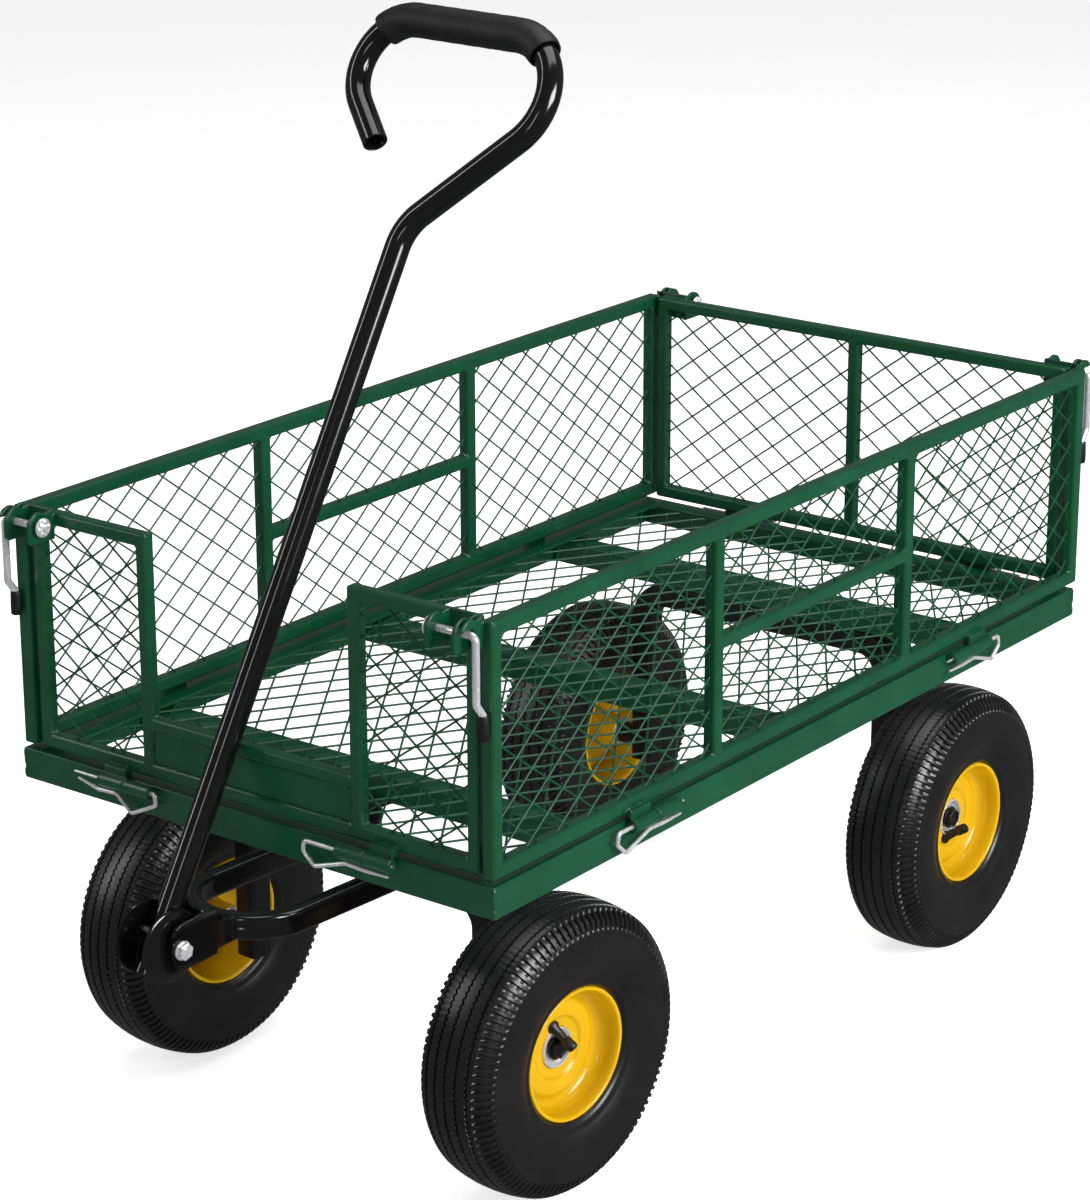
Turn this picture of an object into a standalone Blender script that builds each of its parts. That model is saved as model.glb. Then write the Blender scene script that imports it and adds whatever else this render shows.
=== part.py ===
"""Tow behind cart: an angle-iron tray on four pneumatic wheels, with fold-down mesh sides.

Metres, +Z up. The handle end faces -Y and the load bed lies along Y. The origin is on the
ground, in the middle of the cart's footprint. Left is -X and right is +X, seen from behind.
"""
import math

import bmesh
import bpy
from mathutils import Matrix, Vector

# ---------------------------------------------------------------- driving dimensions
GAP = 0.0003                     # clearance between pieces that touch

WHEEL_RADIUS = 0.1315
WHEEL_WIDTH = 0.081
WHEEL_MID_X = 0.2126
RIM_RADIUS = 0.060
AXLE_RADIUS = 0.008
HUB_RADIUS = 0.0135
HUB_REACH = (0.034, 0.0085)      # hub tube: inwards and outwards from the wheel's middle
FRONT_AXLE_Y = -0.3165           # measured from the middle of the tray
REAR_AXLE_Y = 0.313
STEER_REST = math.radians(-4.28)  # the front axle stands turned a little to the right

TRAY_CENTRE_Y = 0.0482           # the tray's middle, seen from the middle of the footprint
TRAY_BOTTOM = 0.308
TRAY_HALF_X = 0.262
TRAY_HALF_Y = 0.470
TRAY_HEIGHT = 0.028
TRAY_WALL = 0.003
FLANGE_X = 0.027
FLANGE_Y = 0.020

CROSS_WIDTH = 0.025
CROSS_HEIGHT = 0.022
CROSS_Y = (-0.313, 0.0, 0.313)

PANEL_BOTTOM = TRAY_BOTTOM + 0.033
PANEL_TOP = TRAY_BOTTOM + 0.252
TUBE = 0.013                     # square tube of the side panels
GATE_TUBE = 0.012                # square tube of the two gates
PANEL_REAR_Y = 0.476
PANEL_MID_POST_Y = 0.154
MID_RAIL = (TRAY_BOTTOM + 0.139, TRAY_BOTTOM + 0.151)
GATE_HALF_X = 0.244
FRONT_GATE_Y = -0.467            # outer face of the front gate
REAR_GATE_Y = 0.476              # outer face of the rear gate
NOTCH_HALF_X = 0.110
NOTCH_RAIL_TOP = TRAY_BOTTOM + 0.088
PLATE_INSET = 0.002              # solid plate below the notch, behind the gate's outer face
PLATE_THICKNESS = 0.002
PLATE_CORNER = 0.0025

DECK_WIRE = 0.0024
DECK_DIAMOND = (0.0975, 0.1464)
PANEL_WIRE = 0.0024
PANEL_DIAMOND = (0.123, 0.0912)

HINGE_Z = TRAY_BOTTOM + 0.024
HINGE_OFFSET = 0.007             # hinge axis outside the face that carries it
REAR_HINGE_Y = REAR_GATE_Y + HINGE_OFFSET
KNUCKLE_RADIUS = 0.006
KNUCKLE_BORE = 0.0023
GATE_HINGE_SPAN = (0.104, 0.1335, 0.163)
SIDE_HINGE_SPAN = (0.225, 0.2585, 0.292)
CLIP_WIRE = 0.0019

LATCH_Z = TRAY_BOTTOM + 0.244
LATCH_OFFSET = 0.0146            # latch rod outside the end face of the side panel
LATCH_ROD = 0.00325
LATCH_LEVER_X = 0.257
LATCH_EAR_X = (0.217, 0.244, 0.251)
LATCH_ROD_START = 0.2065         # inner end of the rod
LEVER_BEND = 0.0055
LEVER_KINK = 0.0086              # the lever's lower part stands this much nearer the gate
LEVER_KINK_DROP = (0.054, 0.068)  # start and end of the kink, below the rod
LEVER_TIP_DROP = 0.086
PUSH_NUT_X = 0.2095
PUSH_NUT_RADIUS = 0.0085
CAP_RADIUS = 0.005
EAR_THICKNESS = 0.003
EAR_RADIUS = 0.0125

ARCH_TUBE = 0.024
ARCH_LEG_X = 0.146
ARCH_FOOT_Z = 0.110
ARCH_BEND = 0.030
REAR_ARCH_Z = TRAY_BOTTOM - GAP - ARCH_TUBE / 2
FRONT_ARCH_Z = TRAY_BOTTOM - 0.059

WISHBONE_X = 0.054               # centre line of the two drawbar arms
WISHBONE_WIDTH = 0.016
WISHBONE_HEIGHT = 0.022
WISHBONE_BEND_Y = -0.136
CLEVIS_X = (0.0255, 0.0290)      # inner and outer face of each clevis plate
CLEVIS_NOSE = 0.011              # how far the plate runs ahead of the pivot
CLEVIS_LENGTH = 0.0395           # pivot to the back of the tall part
CLEVIS_TOP = (0.0225, 0.0262)    # height over the pivot at the nose and at the back
CLEVIS_BOTTOM = (0.0190, 0.0162)

PIVOT_Y = -0.2485                # handle pivot, ahead of the king pin
PIVOT_Z = TRAY_BOTTOM - 0.059
PIVOT_BORE = 0.0054
HANDLE_LEAN = math.radians(29.2)
HANDLE_RADIUS = 0.011
HANDLE_REACH = 0.811             # pivot to the grip's centre line
JOG_DROP = 0.179                 # the shaft turns to the right this far below the grip
LOOP_LEFT = 0.176
CURL_END_X = 0.064
HANDLE_BENDS = (0.045, 0.0523, 0.047)
HANDLE_FOOT = 0.0290             # the shaft runs this far below the pivot
SHOE_RADIUS = 0.032
SHOE_X = (0.0150, 0.0180)        # inner and outer face of each round cheek
BUSH_RADIUS = 0.0125
GRIP_HALF_LENGTH = 0.10
GRIP_RADIUS = 0.0152

# ---------------------------------------------------------------- materials
FINISHES = {
    "green_powder_coat": ((0.018, 0.085, 0.040), 0.36, 0.0),
    "gloss_black": ((0.012, 0.012, 0.013), 0.22, 0.0),
    "satin_black": ((0.022, 0.022, 0.024), 0.42, 0.0),
    "wheel_yellow": ((0.78, 0.46, 0.02), 0.28, 0.0),
    "zinc_plate": ((0.62, 0.62, 0.64), 0.30, 1.0),
    "tyre_rubber": ((0.016, 0.016, 0.017), 0.70, 0.0),
    "grip_foam": ((0.020, 0.020, 0.021), 0.62, 0.0),
    "cap_rubber": ((0.012, 0.012, 0.012), 0.55, 0.0),
}


def make_material(name):
    colour, roughness, metallic = FINISHES[name]
    material = bpy.data.materials.new(name)
    material.use_nodes = True
    shader = material.node_tree.nodes["Principled BSDF"]
    shader.inputs["Base Color"].default_value = (*colour, 1.0)
    shader.inputs["Roughness"].default_value = roughness
    shader.inputs["Metallic"].default_value = metallic
    material.diffuse_color = (*colour, 1.0)
    return material


def material_named(name):
    return bpy.data.materials.get(name) or make_material(name)


# ---------------------------------------------------------------- objects
def clear_scene():
    for old in list(bpy.data.objects):
        bpy.data.objects.remove(old, do_unlink=True)


def make_object(name, bm, finish, origin=(0.0, 0.0, 0.0), parent=None, smooth=None):
    """Turn a bmesh into an object whose origin is at the given point of its parent's frame."""
    bmesh.ops.recalc_face_normals(bm, faces=bm.faces)
    bmesh.ops.translate(bm, verts=bm.verts, vec=-Vector(origin))
    mesh = bpy.data.meshes.new(name)
    bm.to_mesh(mesh)
    bm.free()
    mesh.materials.append(material_named(finish))
    if smooth is not None:
        mesh.shade_smooth()
        mesh.set_sharp_from_angle(angle=math.radians(smooth))
    obj = bpy.data.objects.new(name, mesh)
    obj.location = origin
    obj.parent = parent
    bpy.context.scene.collection.objects.link(obj)
    return obj


def make_empty(name, location, parent=None, turn=0.0):
    empty = bpy.data.objects.new(name, None)
    empty.empty_display_size = 0.04
    empty.location = location
    empty.rotation_euler = (0.0, 0.0, turn)
    empty.parent = parent
    bpy.context.scene.collection.objects.link(empty)
    return empty


def combine(base, bm, operation="UNION"):
    """Add or cut the bmesh's bodies, given in the base object's parent frame."""
    tool = make_object(base.name + "_tool", bm, base.data.materials[0].name,
                       origin=base.location, parent=base.parent)
    tool.hide_render = True
    tool.display_type = "WIRE"
    modifier = base.modifiers.new(operation.title(), "BOOLEAN")
    modifier.operation = operation
    modifier.solver = "EXACT"
    modifier.object = tool


def soften(obj, width, segments=1):
    bevel = obj.modifiers.new("Edges", "BEVEL")
    bevel.width = width
    bevel.segments = segments
    bevel.limit_method = "ANGLE"
    bevel.angle_limit = math.radians(40)


# ---------------------------------------------------------------- shapes
def add_box(bm, low, high):
    centre = (Vector(low) + Vector(high)) / 2
    size = [abs(high[k] - low[k]) for k in range(3)]
    matrix = Matrix.Translation(centre) @ Matrix.Diagonal((*size, 1.0))
    bmesh.ops.create_cube(bm, size=1.0, matrix=matrix)


def add_lathe(bm, profile, origin, axis, segments, ring=True):
    """Turn (along, radius) points about an axis: a ring, or a solid with flat ends."""
    turn = Vector((0, 0, 1)).rotation_difference(Vector(axis)).to_matrix()
    rings = []
    for along, radius in profile:
        points = []
        for k in range(segments):
            angle = 2 * math.pi * k / segments
            local = Vector((radius * math.cos(angle), radius * math.sin(angle), along))
            points.append(bm.verts.new(Vector(origin) + turn @ local))
        rings.append(points)
    stitch(bm, rings, closed=ring)


def stitch(bm, rings, closed=False):
    """Join neighbouring rings of vertices with quads, and close or cap the two ends."""
    pairs = list(zip(rings, rings[1:]))
    if closed:
        pairs.append((rings[-1], rings[0]))
    for one, two in pairs:
        for k in range(len(one)):
            j = (k + 1) % len(one)
            bm.faces.new((one[k], one[j], two[j], two[k]))
    if not closed:
        bm.faces.new(rings[0])
        bm.faces.new(rings[-1])


def add_cylinder(bm, start, end, radius, segments=16):
    length = (Vector(end) - Vector(start)).length
    add_lathe(bm, [(0.0, radius), (length, radius)], start, Vector(end) - Vector(start),
              segments, ring=False)


def add_plate(bm, outline, place, thickness):
    """Extrude a flat outline: place(u, v, depth) gives each corner's position."""
    rings = [[bm.verts.new(place(u, v, depth)) for u, v in outline]
             for depth in (0.0, thickness)]
    stitch(bm, rings)


def arc_points(centre, radius, start, end, steps):
    """Points on an arc, with angles in degrees."""
    points = []
    for k in range(steps + 1):
        angle = math.radians(start + (end - start) * k / steps)
        points.append((centre[0] + radius * math.cos(angle),
                       centre[1] + radius * math.sin(angle)))
    return points


def round_corners(corners, radii, steps):
    """A 2-D path through the corners, with each inner corner replaced by an arc."""
    corners = [Vector(c) for c in corners]
    path = [corners[0]]
    for before, corner, after, radius in zip(corners, corners[1:], corners[2:], radii):
        back = (before - corner).normalized()
        ahead = (after - corner).normalized()
        half = back.angle(ahead) / 2
        bisector = (back + ahead).normalized()
        centre = corner + bisector * (radius / math.sin(half))
        first = corner + back * (radius / math.tan(half)) - centre
        sweep = (math.pi - 2 * half) * (1 if first.cross(-back) > 0 else -1)
        for k in range(steps + 1):
            path.append(centre + Matrix.Rotation(sweep * k / steps, 2) @ first)
    path.append(corners[-1])
    return path


def path_frames(path, place, normal):
    """Centre, side direction and mitre stretch at each point of a flat path."""
    points = [Vector(place(u, v)) for u, v in path]
    frames = []
    for k, point in enumerate(points):
        arrive = (point - points[k - 1]).normalized() if k else None
        leave = (points[k + 1] - point).normalized() if k + 1 < len(points) else None
        arrive = arrive or leave
        leave = leave or arrive
        along = (arrive + leave).normalized()
        stretch = 1.0 / max(0.5, math.sqrt((1.0 + arrive.dot(leave)) / 2))
        frames.append((point, Vector(normal).cross(along), stretch))
    return frames


def circle_section(radius, sides):
    return [(radius * math.cos(2 * math.pi * k / sides), radius * math.sin(2 * math.pi * k / sides))
            for k in range(sides)]


def box_section(width, height, chamfer):
    w, h = width / 2, height / 2
    return [(w, -h + chamfer), (w, h - chamfer), (w - chamfer, h), (chamfer - w, h),
            (-w, h - chamfer), (-w, chamfer - h), (chamfer - w, -h), (w - chamfer, -h)]


def sweep_rings(bm, frames, normal, section, scales=None):
    rings = []
    for k, (point, side, stretch) in enumerate(frames):
        scale = scales[k] if scales else 1.0
        rings.append([bm.verts.new(point + side * (u * stretch * scale) + Vector(normal) * (v * scale))
                      for u, v in section])
    return rings


def add_sweep(bm, path, place, normal, section, scales=None):
    """Sweep a section along a flat path; the section's second axis is the path's normal."""
    stitch(bm, sweep_rings(bm, path_frames(path, place, normal), normal, section, scales))


def add_sleeve(bm, path, place, normal, outer, inner, sides):
    """A hollow round sleeve along a flat path, open at both ends."""
    frames = path_frames(path, place, normal)
    outside = sweep_rings(bm, frames, normal, circle_section(outer, sides))
    inside = sweep_rings(bm, frames, normal, circle_section(inner, sides))
    stitch(bm, outside + inside[::-1], closed=True)


def add_grid_frame(bm, us, vs, solid, place, thickness):
    """A flat frame of square tubes, built from the cells of a grid for which solid(i, j) holds."""
    corner = {}

    def vert(i, j):
        if (i, j) not in corner:
            corner[i, j] = bm.verts.new(place(us[i], vs[j], 0.0))
        return corner[i, j]

    cells = [(i, j) for i in range(len(us) - 1) for j in range(len(vs) - 1) if solid(i, j)]
    faces = [bm.faces.new((vert(i, j), vert(i + 1, j), vert(i + 1, j + 1), vert(i, j + 1)))
             for i, j in cells]
    extruded = bmesh.ops.extrude_face_region(bm, geom=faces, use_keep_orig=True)["geom"]
    moved = [g for g in extruded if isinstance(g, bmesh.types.BMVert)]
    depth = Vector(place(us[0], vs[0], thickness)) - Vector(place(us[0], vs[0], 0.0))
    bmesh.ops.translate(bm, verts=moved, vec=depth)


def add_diamond_mesh(bm, low, high, diamond, wire, place):
    """Diamond mesh of flat wires that fills a rectangle; its crossings reach all four sides."""
    columns = max(2, round(2 * (high[0] - low[0]) / diamond[0]))
    rows = max(2, round(2 * (high[1] - low[1]) / diamond[1]))
    slope = math.atan2(diamond[1], diamond[0])
    tip_u, tip_v = wire / 2 / math.sin(slope), wire / 2 / math.cos(slope)
    step_u = (high[0] - low[0] - 2 * tip_u) / columns
    step_v = (high[1] - low[1] - 2 * tip_v) / rows
    tips = {"right": (tip_u, 0), "top": (0, tip_v), "left": (-tip_u, 0), "bottom": (0, -tip_v)}
    corner = {}
    for i in range(columns + 1):
        for j in range(rows + 1):
            if (i + j) % 2 == 0:
                u, v = low[0] + tip_u + i * step_u, low[1] + tip_v + j * step_v
                for side, (du, dv) in tips.items():
                    corner[i, j, side] = bm.verts.new(place(u + du, v + dv, -wire / 2))
    faces = []
    for i, j in sorted({key[:2] for key in corner}):
        faces.append(bm.faces.new([corner[i, j, side] for side in tips]))
        if (i + 1, j + 1, "left") in corner:
            faces.append(bm.faces.new((corner[i, j, "right"], corner[i + 1, j + 1, "bottom"],
                                       corner[i + 1, j + 1, "left"], corner[i, j, "top"])))
        if (i + 1, j - 1, "left") in corner:
            faces.append(bm.faces.new((corner[i, j, "bottom"], corner[i + 1, j - 1, "left"],
                                       corner[i + 1, j - 1, "top"], corner[i, j, "right"])))
    extruded = bmesh.ops.extrude_face_region(bm, geom=faces, use_keep_orig=True)["geom"]
    moved = [g for g in extruded if isinstance(g, bmesh.types.BMVert)]
    depth = Vector(place(0, 0, wire / 2)) - Vector(place(0, 0, -wire / 2))
    bmesh.ops.translate(bm, verts=moved, vec=depth)


# ---------------------------------------------------------------- tray and deck
def build_tray():
    """Angle-iron ring: an upright wall with a flat flange turned inwards at the top."""
    bm = bmesh.new()
    top = TRAY_BOTTOM + TRAY_HEIGHT
    profile = [(0, 0, TRAY_BOTTOM), (0, 0, top), (FLANGE_X, FLANGE_Y, top),
               (FLANGE_X, FLANGE_Y, top - TRAY_WALL), (TRAY_WALL, TRAY_WALL, top - TRAY_WALL),
               (TRAY_WALL, TRAY_WALL, TRAY_BOTTOM)]
    rings = [[bm.verts.new((sx * (TRAY_HALF_X - dx), sy * (TRAY_HALF_Y - dy), z))
              for sx, sy in ((-1, -1), (1, -1), (1, 1), (-1, 1))] for dx, dy, z in profile]
    stitch(bm, rings, closed=True)
    tray = make_object("tray_frame", bm, "green_powder_coat")
    tabs, knuckles = bmesh.new(), bmesh.new()
    for hinge in hinges():
        add_hinge_leaf(tabs, knuckles, hinge, hinge["span"][:2], on_tray=True)
    combine(tray, tabs)
    combine(tray, knuckles)
    return tray


def build_cross_members():
    """Three channels across the tray, open below, that carry the deck mesh."""
    half = CROSS_WIDTH / 2
    wall = 0.0025
    reach = TRAY_HALF_X - TRAY_WALL - GAP
    outline = [(-half, 0), (-half, CROSS_HEIGHT), (half, CROSS_HEIGHT), (half, 0),
               (half - wall, 0), (half - wall, CROSS_HEIGHT - wall),
               (wall - half, CROSS_HEIGHT - wall), (wall - half, 0)]
    for name, y in zip(("front", "middle", "rear"), CROSS_Y):
        bm = bmesh.new()
        add_plate(bm, outline, lambda u, v, d, y=y: (d - reach, y + u, TRAY_BOTTOM + v), 2 * reach)
        make_object("cross_member_" + name, bm, "green_powder_coat")


def build_deck():
    """Deck mesh: it lies on the cross-members and runs under the tray's flange."""
    bm = bmesh.new()
    reach_x = TRAY_HALF_X - TRAY_WALL - GAP
    reach_y = TRAY_HALF_Y - TRAY_WALL - GAP
    mid_z = TRAY_BOTTOM + CROSS_HEIGHT + GAP + DECK_WIRE / 2
    add_diamond_mesh(bm, (-reach_x, -reach_y), (reach_x, reach_y), DECK_DIAMOND, DECK_WIRE,
                     lambda u, v, d: (u, v, mid_z + d))
    make_object("deck_mesh", bm, "green_powder_coat")


# ---------------------------------------------------------------- hinges
def hinges():
    """The eight hinges: panel name, end of the panel, axis, and a span along it from its middle."""
    found = []
    for label, side in (("left", -1), ("right", 1)):
        for end, way in (("front", -1), ("rear", 1)):
            found.append({"panel": label + "_side", "end": end, "span": SIDE_HINGE_SPAN,
                          "along": Vector((0, way, 0)), "out": Vector((side, 0, 0)),
                          "at": Vector((side * (TRAY_HALF_X + HINGE_OFFSET), 0, HINGE_Z))})
    for label, way, y in (("front", -1, -TRAY_HALF_Y - HINGE_OFFSET), ("rear", 1, REAR_HINGE_Y)):
        for end, side in (("left", -1), ("right", 1)):
            found.append({"panel": label + "_gate", "end": end, "span": GATE_HINGE_SPAN,
                          "along": Vector((side, 0, 0)), "out": Vector((0, way, 0)),
                          "at": Vector((0, y, HINGE_Z))})
    return found


def add_hinge_leaf(tabs, knuckles, hinge, span, on_tray):
    """One knuckle and its welded tab, on the tray's wall or under the panel's bottom rail."""
    start, end = span[0] + GAP, span[1] - GAP
    along, out, at = hinge["along"], hinge["out"], hinge["at"]
    first = at + along * start
    add_lathe(knuckles, [(0, KNUCKLE_BORE), (0, KNUCKLE_RADIUS),
                         (end - start, KNUCKLE_RADIUS), (end - start, KNUCKLE_BORE)],
              first, along, 12)
    inset = 0.002
    wall_bite = 0.0005
    if on_tray:
        face = TRAY_HALF_X if abs(out.x) > 0.5 else TRAY_HALF_Y
        low, high = HINGE_Z - 0.003, HINGE_Z + 0.002
        reach = abs(at.dot(out)) - 0.0038
    else:
        face = {"left_side": TRAY_HALF_X, "right_side": TRAY_HALF_X,
                "front_gate": -FRONT_GATE_Y, "rear_gate": REAR_GATE_Y}[hinge["panel"]]
        low, high = TRAY_BOTTOM + TRAY_HEIGHT + 0.0006, PANEL_BOTTOM + 0.004
        reach = abs(at.dot(out)) - CLIP_WIRE - GAP
    near = out * (face - wall_bite) + along * (start + inset)
    far = out * reach + along * (end - inset)
    add_box(tabs, (near.x, near.y, low), (far.x, far.y, high))


def clip_path(low_point, tail_height):
    """Bent wire clip: (along, height) from the pin's tip, round the loop, to the tail's end."""
    corners = [(0.094, 0.0), (0.0, 0.0), (-0.001, -0.010), low_point, (0.045, -0.0095),
               (0.066, -0.0105), (0.090, tail_height)]
    return round_corners(corners, (0.004, 0.004, 0.004, 0.006, 0.006), 2)


def build_clips():
    """Each hinge pin is the straight leg of a wire clip that hangs below its knuckles."""
    section = circle_section(CLIP_WIRE, 6)
    for hinge in hinges():
        name = "clip_" + hinge["panel"] + "_" + hinge["end"]
        half_out = name == "clip_front_gate_right"
        on_side = hinge["panel"].endswith("side")
        if on_side:
            start, way = hinge["span"][2] + 0.019, -1
        else:
            start, way = hinge["span"][0] - (0.036 if half_out else 0.004), 1
        if on_side or half_out:
            low_point, tail_height = (0.011, -0.0205), -0.0105
        else:
            low_point, tail_height = (0.028, -0.024), -0.0055

        def place(u, v, hinge=hinge, start=start, way=way):
            return hinge["at"] + hinge["along"] * (start + way * u) + Vector((0, 0, v))

        bm = bmesh.new()
        add_sweep(bm, clip_path(low_point, tail_height), place, hinge["out"], section)
        make_object(name, bm, "zinc_plate", origin=hinge["at"], smooth=50)


# ---------------------------------------------------------------- panels and gates
def add_leaves(frame, panel):
    tabs, knuckles = bmesh.new(), bmesh.new()
    for hinge in hinges():
        if hinge["panel"] == panel:
            add_hinge_leaf(tabs, knuckles, hinge, hinge["span"][1:], on_tray=False)
    combine(frame, tabs)
    combine(frame, knuckles)


def ear_outline(rod, hooked):
    """Latch ear, as (outward, up from the rod) points; a hooked ear is open outwards and down."""
    foot, base = -0.0005, -0.015
    top = arc_points((rod, 0.0), EAR_RADIUS, 0, 130, 6)
    if not hooked:
        return [(foot, base), (rod + EAR_RADIUS - 0.003, base), (rod + EAR_RADIUS, base + 0.003),
                *top, (foot, 0.012)]
    slot = 0.0048
    throat = arc_points((rod, 0.0), slot, 180, 90, 3)
    return [(foot, base), (rod - slot, base), *throat, (rod + EAR_RADIUS * 0.92, slot),
            *top[1:], (foot, 0.012)]


def add_ear(bm, x, face_y, way, rod, hooked=False):
    side = 1 if x > 0 else -1
    add_plate(bm, ear_outline(rod, hooked),
              lambda u, v, d: (x + side * (d - EAR_THICKNESS / 2), face_y + way * u, LATCH_Z + v),
              EAR_THICKNESS)


def build_side(label, side):
    """Side panel: two end posts, two mid posts, full rails and a short mid rail."""
    outer = side * TRAY_HALF_X
    posts = [-TRAY_HALF_Y, TUBE - TRAY_HALF_Y, -PANEL_MID_POST_Y - TUBE / 2,
             -PANEL_MID_POST_Y + TUBE / 2, PANEL_MID_POST_Y - TUBE / 2,
             PANEL_MID_POST_Y + TUBE / 2, PANEL_REAR_Y - TUBE, PANEL_REAR_Y]
    rails = [PANEL_BOTTOM, PANEL_BOTTOM + TUBE, *MID_RAIL, PANEL_TOP - TUBE, PANEL_TOP]

    def solid(i, j):
        return i % 2 == 0 or j in (0, 4) or (i == 3 and j == 2)

    def place(u, v, d):
        return (outer - side * d, u, v)

    axis = (side * (TRAY_HALF_X + HINGE_OFFSET), 0.0, HINGE_Z)
    bm = bmesh.new()
    add_grid_frame(bm, posts, rails, solid, place, TUBE)
    frame = make_object(label + "_side_frame", bm, "green_powder_coat", origin=axis)
    soften(frame, 0.0018)
    add_leaves(frame, label + "_side")
    hooks = bmesh.new()
    for face_y, way in ((-TRAY_HALF_Y, -1), (PANEL_REAR_Y, 1)):
        add_ear(hooks, side * LATCH_EAR_X[2], face_y, way, LATCH_OFFSET, hooked=True)
    combine(frame, hooks)

    bays = {"front": (1, 2, 1, 4), "rear": (5, 6, 1, 4), "lower": (3, 4, 1, 2), "upper": (3, 4, 3, 4)}
    for bay, (u0, u1, v0, v1) in bays.items():
        mesh = bmesh.new()
        add_diamond_mesh(mesh, (posts[u0] + GAP, rails[v0] + GAP), (posts[u1] - GAP, rails[v1] - GAP),
                         PANEL_DIAMOND, PANEL_WIRE, lambda u, v, d: place(u, v, TUBE / 2 + d))
        make_object(f"{label}_side_mesh_{bay}", mesh, "green_powder_coat", origin=axis)


def add_latch_brackets(gate, face_y, way, rod):
    """A latch bracket at each upper corner: a plate with two ears, bored for the rod."""
    plates, ears, bores = bmesh.new(), bmesh.new(), bmesh.new()
    inner, outer = LATCH_EAR_X[0], LATCH_EAR_X[1]
    half = EAR_THICKNESS / 2
    for side in (-1, 1):
        add_box(plates, (side * (inner - half), face_y - way * 0.0005, LATCH_Z - 0.014),
                (side * (outer + half), face_y + way * 0.002, LATCH_Z + 0.0115))
        for x in (inner, outer):
            add_ear(ears, side * x, face_y, way, rod)
        add_cylinder(bores, (side * (inner - 0.006), face_y + way * rod, LATCH_Z),
                     (side * (outer + 0.006), face_y + way * rod, LATCH_Z), LATCH_ROD + 0.0004)
    combine(gate, plates)
    combine(gate, ears)
    combine(gate, bores, "DIFFERENCE")


def build_front_gate():
    """Front gate: two tall mesh bays beside a low middle with a solid plate."""
    posts = [-GATE_HALF_X, GATE_TUBE - GATE_HALF_X, -NOTCH_HALF_X - GATE_TUBE, -NOTCH_HALF_X,
             NOTCH_HALF_X, NOTCH_HALF_X + GATE_TUBE, GATE_HALF_X - GATE_TUBE, GATE_HALF_X]
    rails = [PANEL_BOTTOM, PANEL_BOTTOM + TUBE, NOTCH_RAIL_TOP - GATE_TUBE, NOTCH_RAIL_TOP,
             PANEL_TOP - GATE_TUBE, PANEL_TOP]

    def solid(i, j):
        return i % 2 == 0 or j == 0 or (j == 4 and i != 3) or (i == 3 and j == 2)

    def place(u, v, d):
        return (u, FRONT_GATE_Y + d, v)

    bm = bmesh.new()
    add_grid_frame(bm, posts, rails, solid, place, GATE_TUBE)
    gate = make_object("front_gate_frame", bm, "green_powder_coat")
    soften(gate, 0.0018)
    add_leaves(gate, "front_gate")
    add_latch_brackets(gate, FRONT_GATE_Y, -1, LATCH_OFFSET + TRAY_HALF_Y + FRONT_GATE_Y)

    bm = bmesh.new()
    low, high = PANEL_BOTTOM + TUBE + GAP, NOTCH_RAIL_TOP - GATE_TUBE - GAP
    outline = [(u, v + (low + high) / 2) for u, v in
               box_section(2 * (NOTCH_HALF_X - GAP), high - low, PLATE_CORNER)]
    add_plate(bm, outline, lambda u, v, d: place(u, v, PLATE_INSET + d), PLATE_THICKNESS)
    make_object("front_gate_plate", bm, "green_powder_coat")
    for label, (u0, u1) in (("left", (1, 2)), ("right", (5, 6))):
        mesh = bmesh.new()
        add_diamond_mesh(mesh, (posts[u0] + GAP, rails[1] + GAP), (posts[u1] - GAP, rails[4] - GAP),
                         PANEL_DIAMOND, PANEL_WIRE, lambda u, v, d: place(u, v, GATE_TUBE / 2 + d))
        make_object("front_gate_mesh_" + label, mesh, "green_powder_coat")


def build_rear_gate():
    """Rear gate: a rectangle with one middle post."""
    half = GATE_TUBE / 2
    posts = [-GATE_HALF_X, GATE_TUBE - GATE_HALF_X, -half, half, GATE_HALF_X - GATE_TUBE, GATE_HALF_X]
    rails = [PANEL_BOTTOM, PANEL_BOTTOM + TUBE, PANEL_TOP - GATE_TUBE, PANEL_TOP]

    def solid(i, j):
        return i % 2 == 0 or j % 2 == 0

    def place(u, v, d):
        return (u, REAR_GATE_Y - d, v)

    axis = (0.0, REAR_HINGE_Y, HINGE_Z)
    bm = bmesh.new()
    add_grid_frame(bm, posts, rails, solid, place, GATE_TUBE)
    gate = make_object("rear_gate_frame", bm, "green_powder_coat", origin=axis)
    soften(gate, 0.0018)
    add_leaves(gate, "rear_gate")
    add_latch_brackets(gate, REAR_GATE_Y, 1, LATCH_OFFSET)
    for label, (u0, u1) in (("left", (1, 2)), ("right", (3, 4))):
        mesh = bmesh.new()
        add_diamond_mesh(mesh, (posts[u0] + GAP, rails[1] + GAP), (posts[u1] - GAP, rails[2] - GAP),
                         PANEL_DIAMOND, PANEL_WIRE, lambda u, v, d: place(u, v, GATE_TUBE / 2 + d))
        make_object("rear_gate_mesh_" + label, mesh, "green_powder_coat", origin=axis)


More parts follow.
